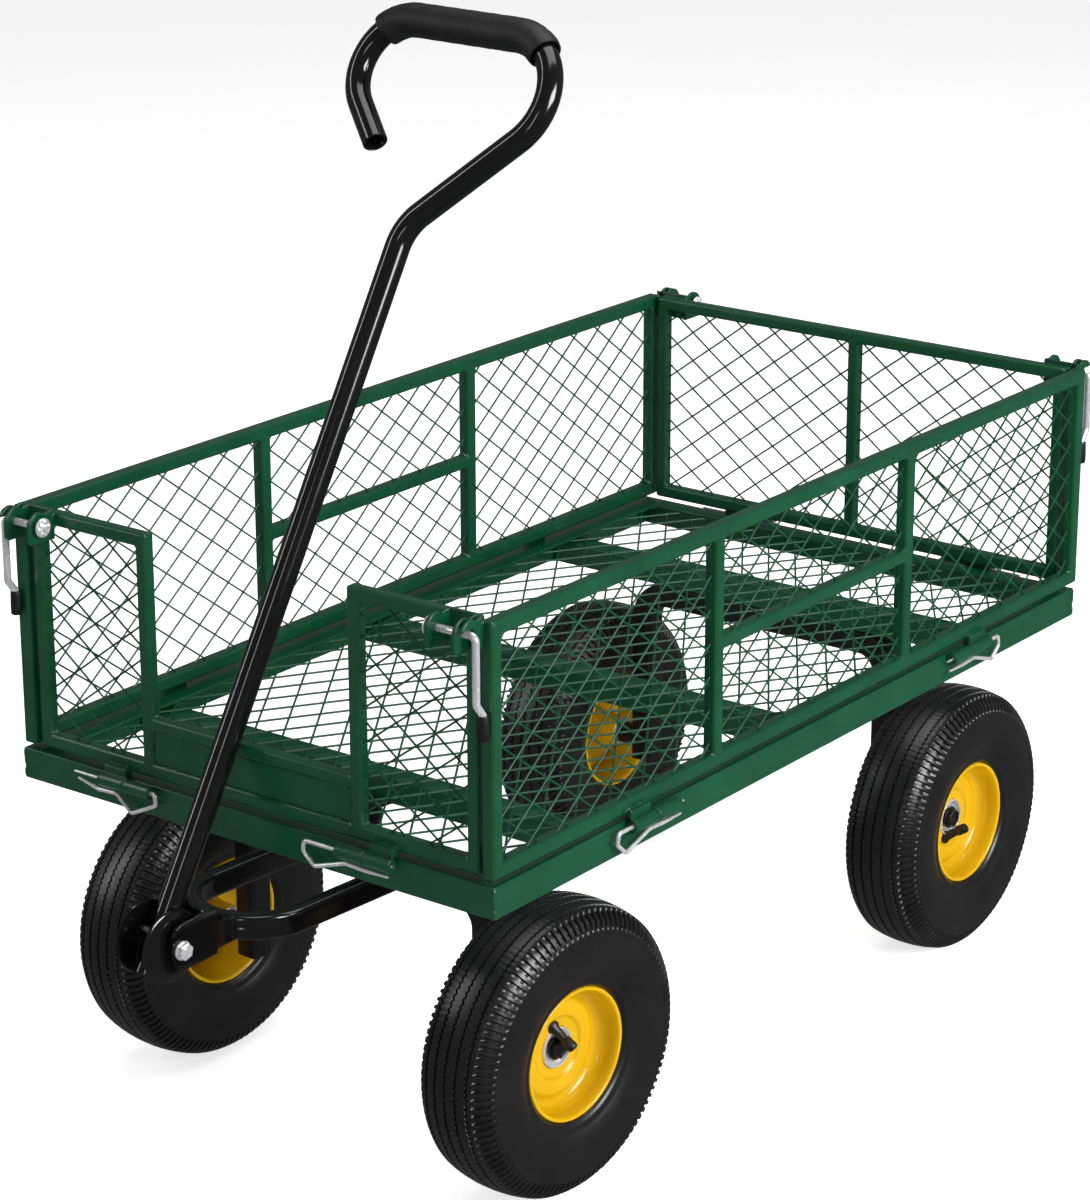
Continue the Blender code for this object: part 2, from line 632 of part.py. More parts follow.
# ---------------------------------------------------------------- latches
def build_latch(label, side, way, end_y):
    """Latch: a rod through the ears, a push nut on its inner end, and a hanging lever."""
    rod_y = end_y + way * LATCH_OFFSET
    normal = Vector((0, 1, 0))

    def place(u, v):
        return (side * u, rod_y, LATCH_Z + v)

    corners = [(LATCH_ROD_START, 0.0), (LATCH_LEVER_X, 0.0), (LATCH_LEVER_X, -LEVER_KINK_DROP[0])]
    bend = round_corners(corners, (LEVER_BEND,), 4)
    bm = bmesh.new()
    rings = sweep_rings(bm, path_frames(bend, place, normal), normal, circle_section(LATCH_ROD, 8))
    last = list(rings[-1])
    for height in (LEVER_KINK_DROP[1], LEVER_TIP_DROP):
        drop = Vector((0, -way * LEVER_KINK, LEVER_KINK_DROP[0] - height))
        rings.append([bm.verts.new(v.co + drop) for v in last])
    stitch(bm, rings)
    axis = (0.0, rod_y, LATCH_Z)
    lever = make_object("latch_lever_" + label, bm, "zinc_plate", origin=axis, smooth=40)
    nut = bmesh.new()
    flat, dome = 0.0015, 0.0025
    add_lathe(nut, [(0, PUSH_NUT_RADIUS), (flat, PUSH_NUT_RADIUS), (dome, PUSH_NUT_RADIUS * 0.7)],
              place(PUSH_NUT_X, 0.0), (side, 0, 0), 12, ring=False)
    combine(lever, nut)

    cap = bmesh.new()
    wall = LATCH_ROD + GAP
    low, high = -LEVER_TIP_DROP - 0.0035, -LEVER_KINK_DROP[1] + 0.0005
    profile = [(low, CAP_RADIUS * 0.7), (low + 0.001, CAP_RADIUS), (high, CAP_RADIUS), (high, wall),
               (-LEVER_TIP_DROP - GAP, wall)]
    add_lathe(cap, profile, (side * LATCH_LEVER_X, rod_y - way * LEVER_KINK, LATCH_Z), (0, 0, 1), 10,
              ring=False)
    make_object("latch_cap_" + label, cap, "cap_rubber", origin=axis, smooth=40)


def build_latches():
    for end, way, end_y in (("front", -1, -TRAY_HALF_Y), ("rear", 1, PANEL_REAR_Y)):
        for label, side in (("left", -1), ("right", 1)):
            build_latch(end + "_" + label, side, way, end_y)


# ---------------------------------------------------------------- running gear
def add_arch(bm, top_z):
    """Square tube bent into an upside-down U, in the plane of the axle."""
    corners = [(-ARCH_LEG_X, ARCH_FOOT_Z), (-ARCH_LEG_X, top_z), (ARCH_LEG_X, top_z),
               (ARCH_LEG_X, ARCH_FOOT_Z)]
    path = round_corners(corners, (ARCH_BEND, ARCH_BEND), 5)
    add_sweep(bm, path, lambda u, v: (u, 0.0, v), (0, 1, 0), box_section(ARCH_TUBE, ARCH_TUBE, 0.003))


def build_rear_arch(parent):
    bm = bmesh.new()
    add_arch(bm, REAR_ARCH_Z)
    make_object("rear_arch", bm, "satin_black", parent=parent, smooth=30)


def build_front_arch(parent):
    bm = bmesh.new()
    add_arch(bm, FRONT_ARCH_Z)
    arch = make_object("front_arch", bm, "satin_black", parent=parent, smooth=30)
    bore = bmesh.new()
    add_cylinder(bore, (0, 0, FRONT_ARCH_Z - 0.02), (0, 0, FRONT_ARCH_Z + 0.02), AXLE_RADIUS + 0.0004, 20)
    combine(arch, bore, "DIFFERENCE")


def build_king_pin(parent):
    """King pin: mounting disc under the tray, spacer, pin through the arch, and a nut below it."""
    bm = bmesh.new()
    arch_top = FRONT_ARCH_Z + ARCH_TUBE / 2
    arch_bottom = FRONT_ARCH_Z - ARCH_TUBE / 2
    profile = [(TRAY_BOTTOM - GAP, 0.030), (TRAY_BOTTOM - 0.005, 0.030), (TRAY_BOTTOM - 0.005, 0.014),
               (arch_top + GAP, 0.014), (arch_top + GAP, AXLE_RADIUS),
               (arch_bottom - GAP, AXLE_RADIUS), (arch_bottom - GAP, 0.012),
               (arch_bottom - 0.009, 0.012)]
    add_lathe(bm, profile, (0, 0, 0), (0, 0, 1), 16, ring=False)
    make_object("king_pin", bm, "satin_black", parent=parent, smooth=30)


def tyre_profile():
    """Closed outline of the tyre: beads, bulged sidewalls, shoulders and a crowned tread."""
    half = WHEEL_WIDTH / 2
    side = [(0.0305, RIM_RADIUS + GAP), (0.0350, 0.0670), (half, 0.0900), (0.0395, 0.1080),
            (0.0345, 0.1215), (0.0220, 0.1293)]
    crown = [(0.0, WHEEL_RADIUS)]
    return side + crown + [(-a, r) for a, r in reversed(side)]


def rim_profile():
    """Closed outline of the rim: rolled edge, barrel, dished disc and hub tube."""
    edge = 0.0295
    barrel = RIM_RADIUS - 0.0025
    bore = AXLE_RADIUS + 0.0004
    hub, (hub_in, hub_out) = HUB_RADIUS, HUB_REACH
    return [(edge, RIM_RADIUS), (-edge, RIM_RADIUS), (-edge, barrel), (-0.006, barrel - 0.001),
            (-0.0045, hub), (-hub_in, hub), (-hub_in, bore), (hub_out, bore), (hub_out, hub),
            (-0.002, hub), (-0.0005, 0.040), (0.006, 0.0525), (0.014, barrel - 0.001),
            (edge, barrel)]


def build_wheel(label, side, parent):
    origin = (side * WHEEL_MID_X, 0.0, WHEEL_RADIUS)
    tyre, rim = bmesh.new(), bmesh.new()
    add_lathe(tyre, tyre_profile(), origin, (side, 0, 0), 36)
    add_lathe(rim, rim_profile(), origin, (side, 0, 0), 24)
    make_object("tyre_" + label, tyre, "tyre_rubber", origin=origin, parent=parent, smooth=35)
    make_object("rim_" + label, rim, "wheel_yellow", origin=origin, parent=parent, smooth=35)

    axle = bmesh.new()
    leg = ARCH_LEG_X + ARCH_TUBE / 2 + GAP
    hub_in, hub_out = WHEEL_MID_X - HUB_REACH[0] - GAP, WHEEL_MID_X + HUB_REACH[1] + GAP
    profile = [(leg, 0.0115), (hub_in, 0.0115), (hub_in, AXLE_RADIUS), (hub_out, AXLE_RADIUS),
               (hub_out, 0.0105), (hub_out + 0.002, 0.0105), (hub_out + 0.0035, 0.0065),
               (hub_out + 0.0065, 0.0050)]
    add_lathe(axle, profile, (0, 0, WHEEL_RADIUS), (side, 0, 0), 12, ring=False)
    make_object("axle_" + label, axle, "satin_black", origin=origin, parent=parent, smooth=35)


# ---------------------------------------------------------------- drawbar and handle
def clevis_outline():
    """Tall plate with a bowed nose, and a neck of the tube's height that runs into the loop."""
    loop_front = WISHBONE_BEND_Y - math.sqrt(WISHBONE_X ** 2 - CLEVIS_X[0] ** 2)
    back, half = PIVOT_Y + CLEVIS_LENGTH, WISHBONE_HEIGHT / 2
    tall = CLEVIS_TOP[0] + CLEVIS_BOTTOM[0]
    top, steps = PIVOT_Z + CLEVIS_TOP[0], 8
    nose = [(PIVOT_Y - CLEVIS_NOSE * math.sin(math.pi * k / steps) ** 0.5, top - tall * k / steps)
            for k in range(steps + 1)]
    return nose + [(back, PIVOT_Z - CLEVIS_BOTTOM[1]), (back, PIVOT_Z - half), (loop_front, PIVOT_Z - half),
                   (loop_front, PIVOT_Z + half), (back, PIVOT_Z + half), (back, PIVOT_Z + CLEVIS_TOP[1])]


def build_wishbone(parent):
    """Drawbar: a square tube bent into a U, with two clevis plates welded to its front."""
    z = PIVOT_Z
    rear = -ARCH_TUBE / 2 - GAP
    corners = [(WISHBONE_X, rear), (WISHBONE_X, WISHBONE_BEND_Y - WISHBONE_X),
               (-WISHBONE_X, WISHBONE_BEND_Y - WISHBONE_X), (-WISHBONE_X, rear)]
    radius = WISHBONE_X - 0.0005
    path = round_corners(corners, (radius, radius), 7)
    bm = bmesh.new()
    add_sweep(bm, path, lambda u, v: (u, v, z), (0, 0, 1),
              box_section(WISHBONE_WIDTH, WISHBONE_HEIGHT, 0.003))
    wishbone = make_object("wishbone", bm, "satin_black", parent=parent, smooth=30)

    outline = clevis_outline()
    plates, bore = bmesh.new(), bmesh.new()
    for side in (-1, 1):
        add_plate(plates, outline, lambda u, v, d, side=side: (side * (CLEVIS_X[0] + d), u, v),
                  CLEVIS_X[1] - CLEVIS_X[0])
    reach = CLEVIS_X[1] + 0.01
    add_cylinder(bore, (-reach, PIVOT_Y, z), (reach, PIVOT_Y, z), PIVOT_BORE)
    combine(wishbone, plates)
    combine(wishbone, bore, "DIFFERENCE")


def handle_place(u, v):
    """Handle plane to the steering frame: u to the right, v up along the shaft from the pivot."""
    return Vector((u, PIVOT_Y + v * math.sin(HANDLE_LEAN), PIVOT_Z + v * math.cos(HANDLE_LEAN)))


def handle_path():
    """Shaft, 45 degree jog to the right, right bend, grip bar, and the left end curled back."""
    grip = HANDLE_REACH
    corners = [(0.0, -HANDLE_FOOT), (0.0, grip - JOG_DROP), (JOG_DROP, grip), (-LOOP_LEFT, grip),
               (-CURL_END_X, grip - LOOP_LEFT + CURL_END_X)]
    return round_corners(corners, HANDLE_BENDS, 7)


def build_handle(parent):
    normal = Vector((0, math.cos(HANDLE_LEAN), -math.sin(HANDLE_LEAN)))
    pivot = (0.0, PIVOT_Y, PIVOT_Z)
    bm = bmesh.new()
    add_sweep(bm, handle_path(), handle_place, normal, circle_section(HANDLE_RADIUS, 12))
    handle = make_object("handle_tube", bm, "gloss_black", origin=pivot, parent=parent, smooth=40)
    cheeks, bush, bore = bmesh.new(), bmesh.new(), bmesh.new()
    inner, outer = SHOE_X
    for side in (-1, 1):
        add_cylinder(cheeks, (side * inner, PIVOT_Y, PIVOT_Z), (side * outer, PIVOT_Y, PIVOT_Z),
                     SHOE_RADIUS, 24)
    reach = CLEVIS_X[0] - GAP
    add_cylinder(bush, (-reach, PIVOT_Y, PIVOT_Z), (reach, PIVOT_Y, PIVOT_Z), BUSH_RADIUS, 12)
    add_cylinder(bore, (-0.03, PIVOT_Y, PIVOT_Z), (0.03, PIVOT_Y, PIVOT_Z), PIVOT_BORE)
    combine(handle, cheeks)
    combine(handle, bush)
    combine(handle, bore, "DIFFERENCE")

    level = [p for p in handle_path() if p[1] > HANDLE_REACH - 0.016 and abs(p[0]) < GRIP_HALF_LENGTH]
    sleeve = bmesh.new()
    add_sleeve(sleeve, level, handle_place, normal, GRIP_RADIUS, HANDLE_RADIUS + 3 * GAP, 12)
    make_object("handle_grip", sleeve, "grip_foam", origin=pivot, parent=parent, smooth=40)


def build_pivot_bolt(parent):
    """Pivot bolt along X: hexagon head on the right, shank, and nut on the left."""
    clevis = CLEVIS_X[1] + GAP
    bm = bmesh.new()
    profile = [(-clevis - 0.007, 0.0085), (-clevis, 0.0085), (-clevis, 0.005), (clevis, 0.005),
               (clevis, 0.0085), (clevis + 0.006, 0.0085), (clevis + 0.007, 0.0070)]
    add_lathe(bm, profile, (0, PIVOT_Y, PIVOT_Z), (1, 0, 0), 12, ring=False)
    make_object("pivot_bolt", bm, "zinc_plate", origin=(0.0, PIVOT_Y, PIVOT_Z), parent=parent, smooth=30)


# ---------------------------------------------------------------- assembly
def centre_on_footprint():
    for obj in bpy.data.objects:
        if obj.parent is None:
            obj.location.y += TRAY_CENTRE_Y


def build_cart():
    clear_scene()
    build_tray()
    build_cross_members()
    build_deck()
    build_clips()
    build_side("left", -1)
    build_side("right", 1)
    build_front_gate()
    build_rear_gate()
    build_latches()

    rear = make_empty("rear_axle_frame", (0, REAR_AXLE_Y, 0))
    build_rear_arch(rear)
    pin = make_empty("king_pin_frame", (0, FRONT_AXLE_Y, 0))
    build_king_pin(pin)
    steering = make_empty("steering_frame", (0, FRONT_AXLE_Y, 0), turn=STEER_REST)
    build_front_arch(steering)
    build_wishbone(steering)
    build_pivot_bolt(steering)
    build_handle(steering)
    for end, parent in (("front", steering), ("rear", rear)):
        for label, side in (("left", -1), ("right", 1)):
            build_wheel(end + "_" + label, side, parent)
    centre_on_footprint()


build_cart()
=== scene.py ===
import math
import random

import bmesh
import bpy
from mathutils import Matrix, Vector


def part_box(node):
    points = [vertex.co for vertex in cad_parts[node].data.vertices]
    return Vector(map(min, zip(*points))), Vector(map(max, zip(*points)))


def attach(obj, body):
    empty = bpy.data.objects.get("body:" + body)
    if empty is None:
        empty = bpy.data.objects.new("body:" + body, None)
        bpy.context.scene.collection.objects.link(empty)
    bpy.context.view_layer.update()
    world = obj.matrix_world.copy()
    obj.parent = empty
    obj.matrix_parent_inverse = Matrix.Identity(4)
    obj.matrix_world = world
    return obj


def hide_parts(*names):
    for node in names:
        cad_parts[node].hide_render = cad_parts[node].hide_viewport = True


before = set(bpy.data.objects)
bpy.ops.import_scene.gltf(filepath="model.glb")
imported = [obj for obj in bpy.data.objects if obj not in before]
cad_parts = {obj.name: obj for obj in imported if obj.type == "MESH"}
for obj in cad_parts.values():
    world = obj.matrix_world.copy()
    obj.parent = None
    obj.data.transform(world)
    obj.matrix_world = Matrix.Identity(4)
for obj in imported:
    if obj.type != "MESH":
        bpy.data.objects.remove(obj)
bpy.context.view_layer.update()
random.seed(4)

# ---------------------------------------------------------------- dimensions, metres
TRAY_Y = 0.0482                   # the tray's middle, seen from the footprint's middle
TRAY_TOP = 0.336
TRAY_HALF_X, TRAY_HALF_Y = 0.262, 0.470
STEER_REST = math.radians(-4.28)
STEERING = Matrix.Translation((0, -0.2683, 0)) @ Matrix.Rotation(STEER_REST, 4, "Z")
REAR_AXLE = Matrix.Translation((0, 0.3612, 0))
WHEEL_MID_X, WHEEL_RADIUS = 0.2126, 0.1315

PANEL_BOTTOM, PANEL_TOP = 0.341, 0.560
SIDE_TUBE, GATE_TUBE = 0.013, 0.012
MID_RAIL = (0.447, 0.459)
NOTCH_HALF_X, NOTCH_TOP = 0.110, 0.396

FRONT_FACE, REAR_FACE = 0.467, 0.476         # gates' outer faces, from the tray's middle
MID_POST_Y, SIDE_POSTS = 0.154, (-0.457, 0.463)
GATE_CORNER_X = 0.232

HINGE_Z, HINGE_OUT = 0.332, 0.007
SIDE_HINGE, GATE_HINGE = (0.225, 0.2585, 0.292), (0.104, 0.1335, 0.163)
CLIP_WIRE = 0.0019
LATCH_Z, LATCH_ROD, LATCH_Y_OUT = 0.552, 0.00325, 0.0146
ROD_START, NUT_X = 0.2065, 0.2095
LEVER_X, LEVER_BEND, LEVER_KINK, LEVER_TIP = 0.257, 0.054, 0.0086, 0.086

PANEL_BEAD, GATE_BEAD, PLATE_BEAD = 0.0015, 0.0014, 0.0013   # weld bead radii
TAB_BEAD, SEAM_BEAD, MITRE_BEAD = 0.0012, 0.0011, 0.0007
INSET, PROUD, SUNK = 0.001, 0.0006, 0.0003                  # where a bead sits from a face

ARCH_TUBE, ARCH_LEG_X, ARCH_FOOT_Z, ARCH_BEND = 0.024, 0.146, 0.110, 0.030
REAR_ARCH_Z, FRONT_ARCH_Z = 0.2957, 0.249
WISHBONE_X, WISHBONE_BEND_Y, WISHBONE_TUBE = 0.054, -0.136, (0.016, 0.022)
PIVOT_Y, PIVOT_Z = -0.2485, 0.249
CLEVIS_FACES = (0.0255, 0.0290)              # inner and outer face of each plate
CLEVIS_BOW, CLEVIS_LENGTH = 0.011, 0.0395    # ahead of the pivot, and behind it
CLEVIS_NOSE, CLEVIS_BACK = (0.0225, 0.0190), (0.0262, 0.0162)    # above and below the pivot
HANDLE_LEAN, HANDLE_RADIUS, HANDLE_REACH = math.radians(29.2), 0.011, 0.811
HANDLE_FOOT, JOG_DROP, LOOP_LEFT = 0.029, 0.179, 0.176
CURL_X, CURL_DROP = 0.064, 0.112
HANDLE_NORMAL = Vector((0, math.cos(HANDLE_LEAN), -math.sin(HANDLE_LEAN)))
GRIP_RADIUS, GRIP_HALF_LENGTH = 0.0150, 0.0985

PANEL_DIAMOND, PANEL_WIRE = (0.0410, 0.0304), 0.0018
DECK_DIAMOND, DECK_WIRE = (0.0325, 0.0488), 0.0021
WIRE_REACH, WIRE_STEP = 0.0006, 0.014        # into the frame round it, and between rings
WIRE_BEND, WIRE_WAVE, WIRE_WEAVE = 0.0003, 0.00012, 0.36
PLATE_EDGE = 0.0006


# ---------------------------------------------------------------- materials
def node(tree, kind, **inputs):
    made = tree.nodes.new(kind)
    for name, value in inputs.items():
        made.inputs[name.replace("_", " ")].default_value = value
    return made


def finish(name, dark, light, rough, grain, height, spread=12.0, metallic=0.0, edge=0.0,
           stretch=(1, 1, 1), specular=0.5):
    """Paint, metal or rubber: mottled colour, uneven roughness and a fine raised grain."""
    material = bpy.data.materials.new(name)
    material.use_nodes = True
    tree = material.node_tree
    shader = tree.nodes["Principled BSDF"]
    shader.inputs["Metallic"].default_value = metallic
    shader.inputs["Specular IOR Level"].default_value = specular
    place = node(tree, "ShaderNodeTexCoord")
    scale = node(tree, "ShaderNodeMapping", Scale=stretch)
    tree.links.new(place.outputs["Object"], scale.inputs["Vector"])

    broad = node(tree, "ShaderNodeTexNoise", Scale=spread, Detail=4.0, Roughness=0.6)
    ramp = tree.nodes.new("ShaderNodeValToRGB")
    ramp.color_ramp.elements[0].position = 0.3
    ramp.color_ramp.elements[0].color = (*dark, 1)
    ramp.color_ramp.elements[1].position = 0.75
    ramp.color_ramp.elements[1].color = (*light, 1)
    tree.links.new(scale.outputs["Vector"], broad.inputs["Vector"])
    tree.links.new(broad.outputs["Fac"], ramp.inputs["Fac"])
    tree.links.new(ramp.outputs["Color"], shader.inputs["Base Color"])

    patch = node(tree, "ShaderNodeTexNoise", Scale=spread * 5, Detail=3.0)
    uneven = node(tree, "ShaderNodeMapRange", To_Min=rough[0], To_Max=rough[1])
    tree.links.new(scale.outputs["Vector"], patch.inputs["Vector"])
    tree.links.new(patch.outputs["Fac"], uneven.inputs["Value"])
    tree.links.new(uneven.outputs["Result"], shader.inputs["Roughness"])

    fine = node(tree, "ShaderNodeTexNoise", Scale=grain, Detail=2.0)
    bump = node(tree, "ShaderNodeBump", Strength=0.6, Distance=height)
    tree.links.new(scale.outputs["Vector"], fine.inputs["Vector"])
    tree.links.new(fine.outputs["Fac"], bump.inputs["Height"])
    tree.links.new(bump.outputs["Normal"], shader.inputs["Normal"])
    if edge:
        rounded = node(tree, "ShaderNodeBevel", Radius=edge)
        rounded.samples = 6
        tree.links.new(rounded.outputs["Normal"], bump.inputs["Normal"])
    return material


GREEN_DARK, GREEN_LIGHT = (0.0018, 0.0400, 0.0155), (0.0045, 0.0580, 0.0240)
LOOKS = {
    "green_powder_coat": finish("green_coat", GREEN_DARK, GREEN_LIGHT, (0.16, 0.26), 420, 0.00006),
    "green_edges": finish("green_coat_edges", GREEN_DARK, GREEN_LIGHT, (0.16, 0.26), 420, 0.00006,
                          edge=0.0028),
    "green_wire": finish("green_coat_wire", GREEN_DARK, GREEN_LIGHT, (0.28, 0.42), 420, 0.00006,
                         specular=0.22),
    "gloss_black": finish("black_gloss", (0.002, 0.002, 0.0022), (0.004, 0.004, 0.0045),
                          (0.10, 0.17), 300, 0.00003),
    "satin_black": finish("black_satin", (0.003, 0.003, 0.0034), (0.007, 0.007, 0.008),
                          (0.22, 0.36), 500, 0.00007, edge=0.0012, specular=0.4),
    "wheel_yellow": finish("yellow_coat", (0.47, 0.270, 0.003), (0.53, 0.310, 0.005), (0.14, 0.21),
                           260, 0.00004, specular=0.3),
    "zinc_plate": finish("zinc", (0.55, 0.55, 0.57), (0.80, 0.80, 0.82), (0.16, 0.34), 900,
                         0.00005, spread=60, metallic=0.62, stretch=(1, 1, 0.35)),
    "tyre_rubber": finish("rubber_tyre", (0.0032, 0.0032, 0.0034), (0.0066, 0.0066, 0.0070),
                          (0.28, 0.40), 700, 0.00010, spread=22),
    "grip_foam": finish("foam_grip", (0.004, 0.004, 0.0045), (0.008, 0.008, 0.009), (0.45, 0.60),
                        1400, 0.00030, spread=40, specular=0.35),
    "cap_rubber": finish("rubber_cap", (0.002, 0.002, 0.002), (0.005, 0.005, 0.005), (0.34, 0.50),
                         800, 0.00012, spread=60),
}


# ---------------------------------------------------------------- pieces and shapes
def make_mesh(name, bm):
    bmesh.ops.recalc_face_normals(bm, faces=bm.faces)
    mesh = bpy.data.meshes.new(name)
    bm.to_mesh(mesh)
    bm.free()
    return mesh


def add_piece(name, bm, look, body, replaces=(), place=None, smooth=42):
    """One visual piece from its own bmesh, moved by place into the cart's frame."""
    if place is not None:
        bm.transform(place)
    return add_mesh(name, make_mesh(name, bm), look, body, replaces, smooth)


def add_mesh(name, mesh, look, body, replaces, smooth, place=None):
    """One visual piece; a mesh that several pieces share is copied to its place first."""
    if not mesh.materials:
        mesh.materials.append(LOOKS[look])
        mesh.shade_smooth()
        mesh.set_sharp_from_angle(angle=math.radians(smooth))
    if place is not None:
        mesh = mesh.copy()
        mesh.transform(place)
    piece = bpy.data.objects.new(name, mesh)
    bpy.context.scene.collection.objects.link(piece)
    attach(piece, body)
    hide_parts(*replaces)
    return piece


def join_rings(bm, rings, closed=False):
    """Quads between neighbouring rings, then two caps, or a last band when the loop is closed."""
    pairs = list(zip(rings, rings[1:]))
    if closed:
        pairs.append((rings[-1], rings[0]))
    for one, two in pairs:
        for k in range(len(one)):
            j = (k + 1) % len(one)
            bm.faces.new((one[k], one[j], two[j], two[k]))
    if not closed:
        bm.faces.new(rings[0])
        bm.faces.new(rings[-1])


def lathe(bm, profile, origin, axis, segments, closed=True):
    """Turn (along, radius) points about an axis."""
    turn = Vector((0, 0, 1)).rotation_difference(Vector(axis)).to_matrix()
    rings = []
    for along, radius in profile:
        ring = []
        for k in range(segments):
            angle = 2 * math.pi * k / segments
            local = Vector((radius * math.cos(angle), radius * math.sin(angle), along))
            ring.append(bm.verts.new(Vector(origin) + turn @ local))
        rings.append(ring)
    join_rings(bm, rings, closed)


def tube(bm, points, radii, sides=8):
    """Round tube through 3-D points, with a radius at each one."""
    rings = []
    across = None
    for k, point in enumerate(points):
        along = (points[min(k + 1, len(points) - 1)] - points[max(k - 1, 0)]).normalized()
        if across is None:
            across = along.orthogonal().normalized()
        across = (across - along * across.dot(along)).normalized()
        other = along.cross(across)
        rings.append([bm.verts.new(point + radii[k] * (across * math.cos(a) + other * math.sin(a)))
                      for a in (2 * math.pi * j / sides for j in range(sides))])
    join_rings(bm, rings)


def blob(bm, at, size, detail=1):
    matrix = Matrix.Translation(at) @ Matrix.Diagonal((*size, 1.0))
    bmesh.ops.create_icosphere(bm, subdivisions=detail, radius=1.0, matrix=matrix)


def round_path(corners, radii, steps):
    """A 2-D path through the corners, with an arc at each inner corner."""
    corners = [Vector(c) for c in corners]
    path = [corners[0]]
    for before, corner, after, radius in zip(corners, corners[1:], corners[2:], radii):
        back, ahead = (before - corner).normalized(), (after - corner).normalized()
        half = back.angle(ahead) / 2
        centre = corner + (back + ahead).normalized() * (radius / math.sin(half))
        first = corner + back * (radius / math.tan(half)) - centre
        sweep = (math.pi - 2 * half) * (1 if first.cross(-back) > 0 else -1)
        path += [centre + Matrix.Rotation(sweep * k / steps, 2) @ first for k in range(steps + 1)]
    return path + [corners[-1]]


def box_section(width, height, radius, steps=4, hollow=0.0):
    """Rounded rectangle; a positive hollow dents the +width and -width faces."""
    points = []
    for quarter, (sx, sy) in enumerate(((1, 1), (-1, 1), (-1, -1), (1, -1))):
        cx, cy = sx * (width / 2 - radius), sy * (height / 2 - radius)
        for k in range(steps + 1):
            angle = math.radians(90 * quarter + 90 * k / steps)
            points.append((cx + radius * math.cos(angle), cy + radius * math.sin(angle)))
        if hollow and quarter in (1, 3):
            points.append(((hollow - width / 2) * (1 if quarter == 1 else -1), 0.0))
    return points


def sweep_rings(bm, points, normal, sections, inwards=False):
    """A ring at each point of a flat path, mitred at the bends, not yet joined. A section's
    second axis is the path's normal; inwards is for a path that turns back inside a tube."""
    normal = Vector(normal)
    rings = []
    for k, (point, section) in enumerate(zip(points, sections)):
        arrive = (point - points[k - 1]).normalized() if k else None
        leave = (points[k + 1] - point).normalized() if k + 1 < len(points) else None
        arrive, leave = arrive or leave, leave or arrive
        stretch = 1.0 / max(0.5, math.sqrt((1.0 + arrive.dot(leave)) / 2))
        along = points[0] - points[-1] if inwards else arrive + leave
        side = normal.cross(along.normalized())
        rings.append([bm.verts.new(point + side * (u * stretch) + normal * v) for u, v in section])
    return rings


def circle(radius, sides):
    return [(radius * math.cos(2 * math.pi * k / sides), radius * math.sin(2 * math.pi * k / sides))
            for k in range(sides)]


def plate(bm, outline, place, thickness):
    """Flat plate with softened edges: place(u, v, depth) gives each corner's position."""
    rings = [[bm.verts.new(place(u, v, d)) for u, v in outline] for d in (0.0, thickness)]
    before = set(bm.edges)
    join_rings(bm, rings)
    rim = [e for e in bm.edges if e not in before and
           any(set(e.verts) <= set(ring) for ring in rings)]
    bmesh.ops.bevel(bm, geom=rim, offset=PLATE_EDGE, segments=2, affect="EDGES", profile=0.5)


def bead(bm, start, end, radius):
    """Weld bead: a low rippled ridge from start to end."""
    start, end = Vector(start), Vector(end)
    count = max(4, round((end - start).length / 0.0011))
    points, radii = [], []
    for k in range(count + 1):
        t = k / count
        points.append(start.lerp(end, t) + Vector([random.uniform(-1, 1) for _ in range(3)])
                      * radius * 0.12)
        ends = 0.45 if k in (0, count) else 1.0
        radii.append(radius * ends * (1.0 + 0.2 * (k % 2)) * random.uniform(0.9, 1.1))
    tube(bm, points, radii)


# ---------------------------------------------------------------- wire meshes
def mesh_wires(half_u, half_v, pitch_u, pitch_v):
    """Each wire of a diamond mesh: its slope, and its two ends on the rectangle's edge."""
    count = int(half_u * 2 / pitch_u + half_v * 2 / pitch_v) + 2
    for slope in (1, -1):
        for k in range(-count, count + 1):
            offset = k + 0.5
            ends = []
            for u in (-half_u, half_u):
                v = pitch_v * (offset + slope * u / pitch_u)
                v = max(-half_v, min(half_v, v))
                ends.append((slope * pitch_u * (v / pitch_v - offset), v))
            if math.dist(*ends) >= 0.003 and all(abs(u) <= half_u + 1e-6 for u, _ in ends):
                yield slope, ends


def mesh_crossings(half_u, half_v, pitch_u, pitch_v):
    """Where two wires cross inside the rectangle."""
    most_u, most_v = int(2 * half_u / pitch_u) + 1, int(2 * half_v / pitch_v) + 1
    for i in range(-most_u, most_u + 1):
        for j in range(-most_v, most_v + 1):
            u, v = pitch_u * i / 2, pitch_v * j / 2
            if (i + j) % 2 == 1 and abs(u) < half_u and abs(v) < half_v:
                yield u, v


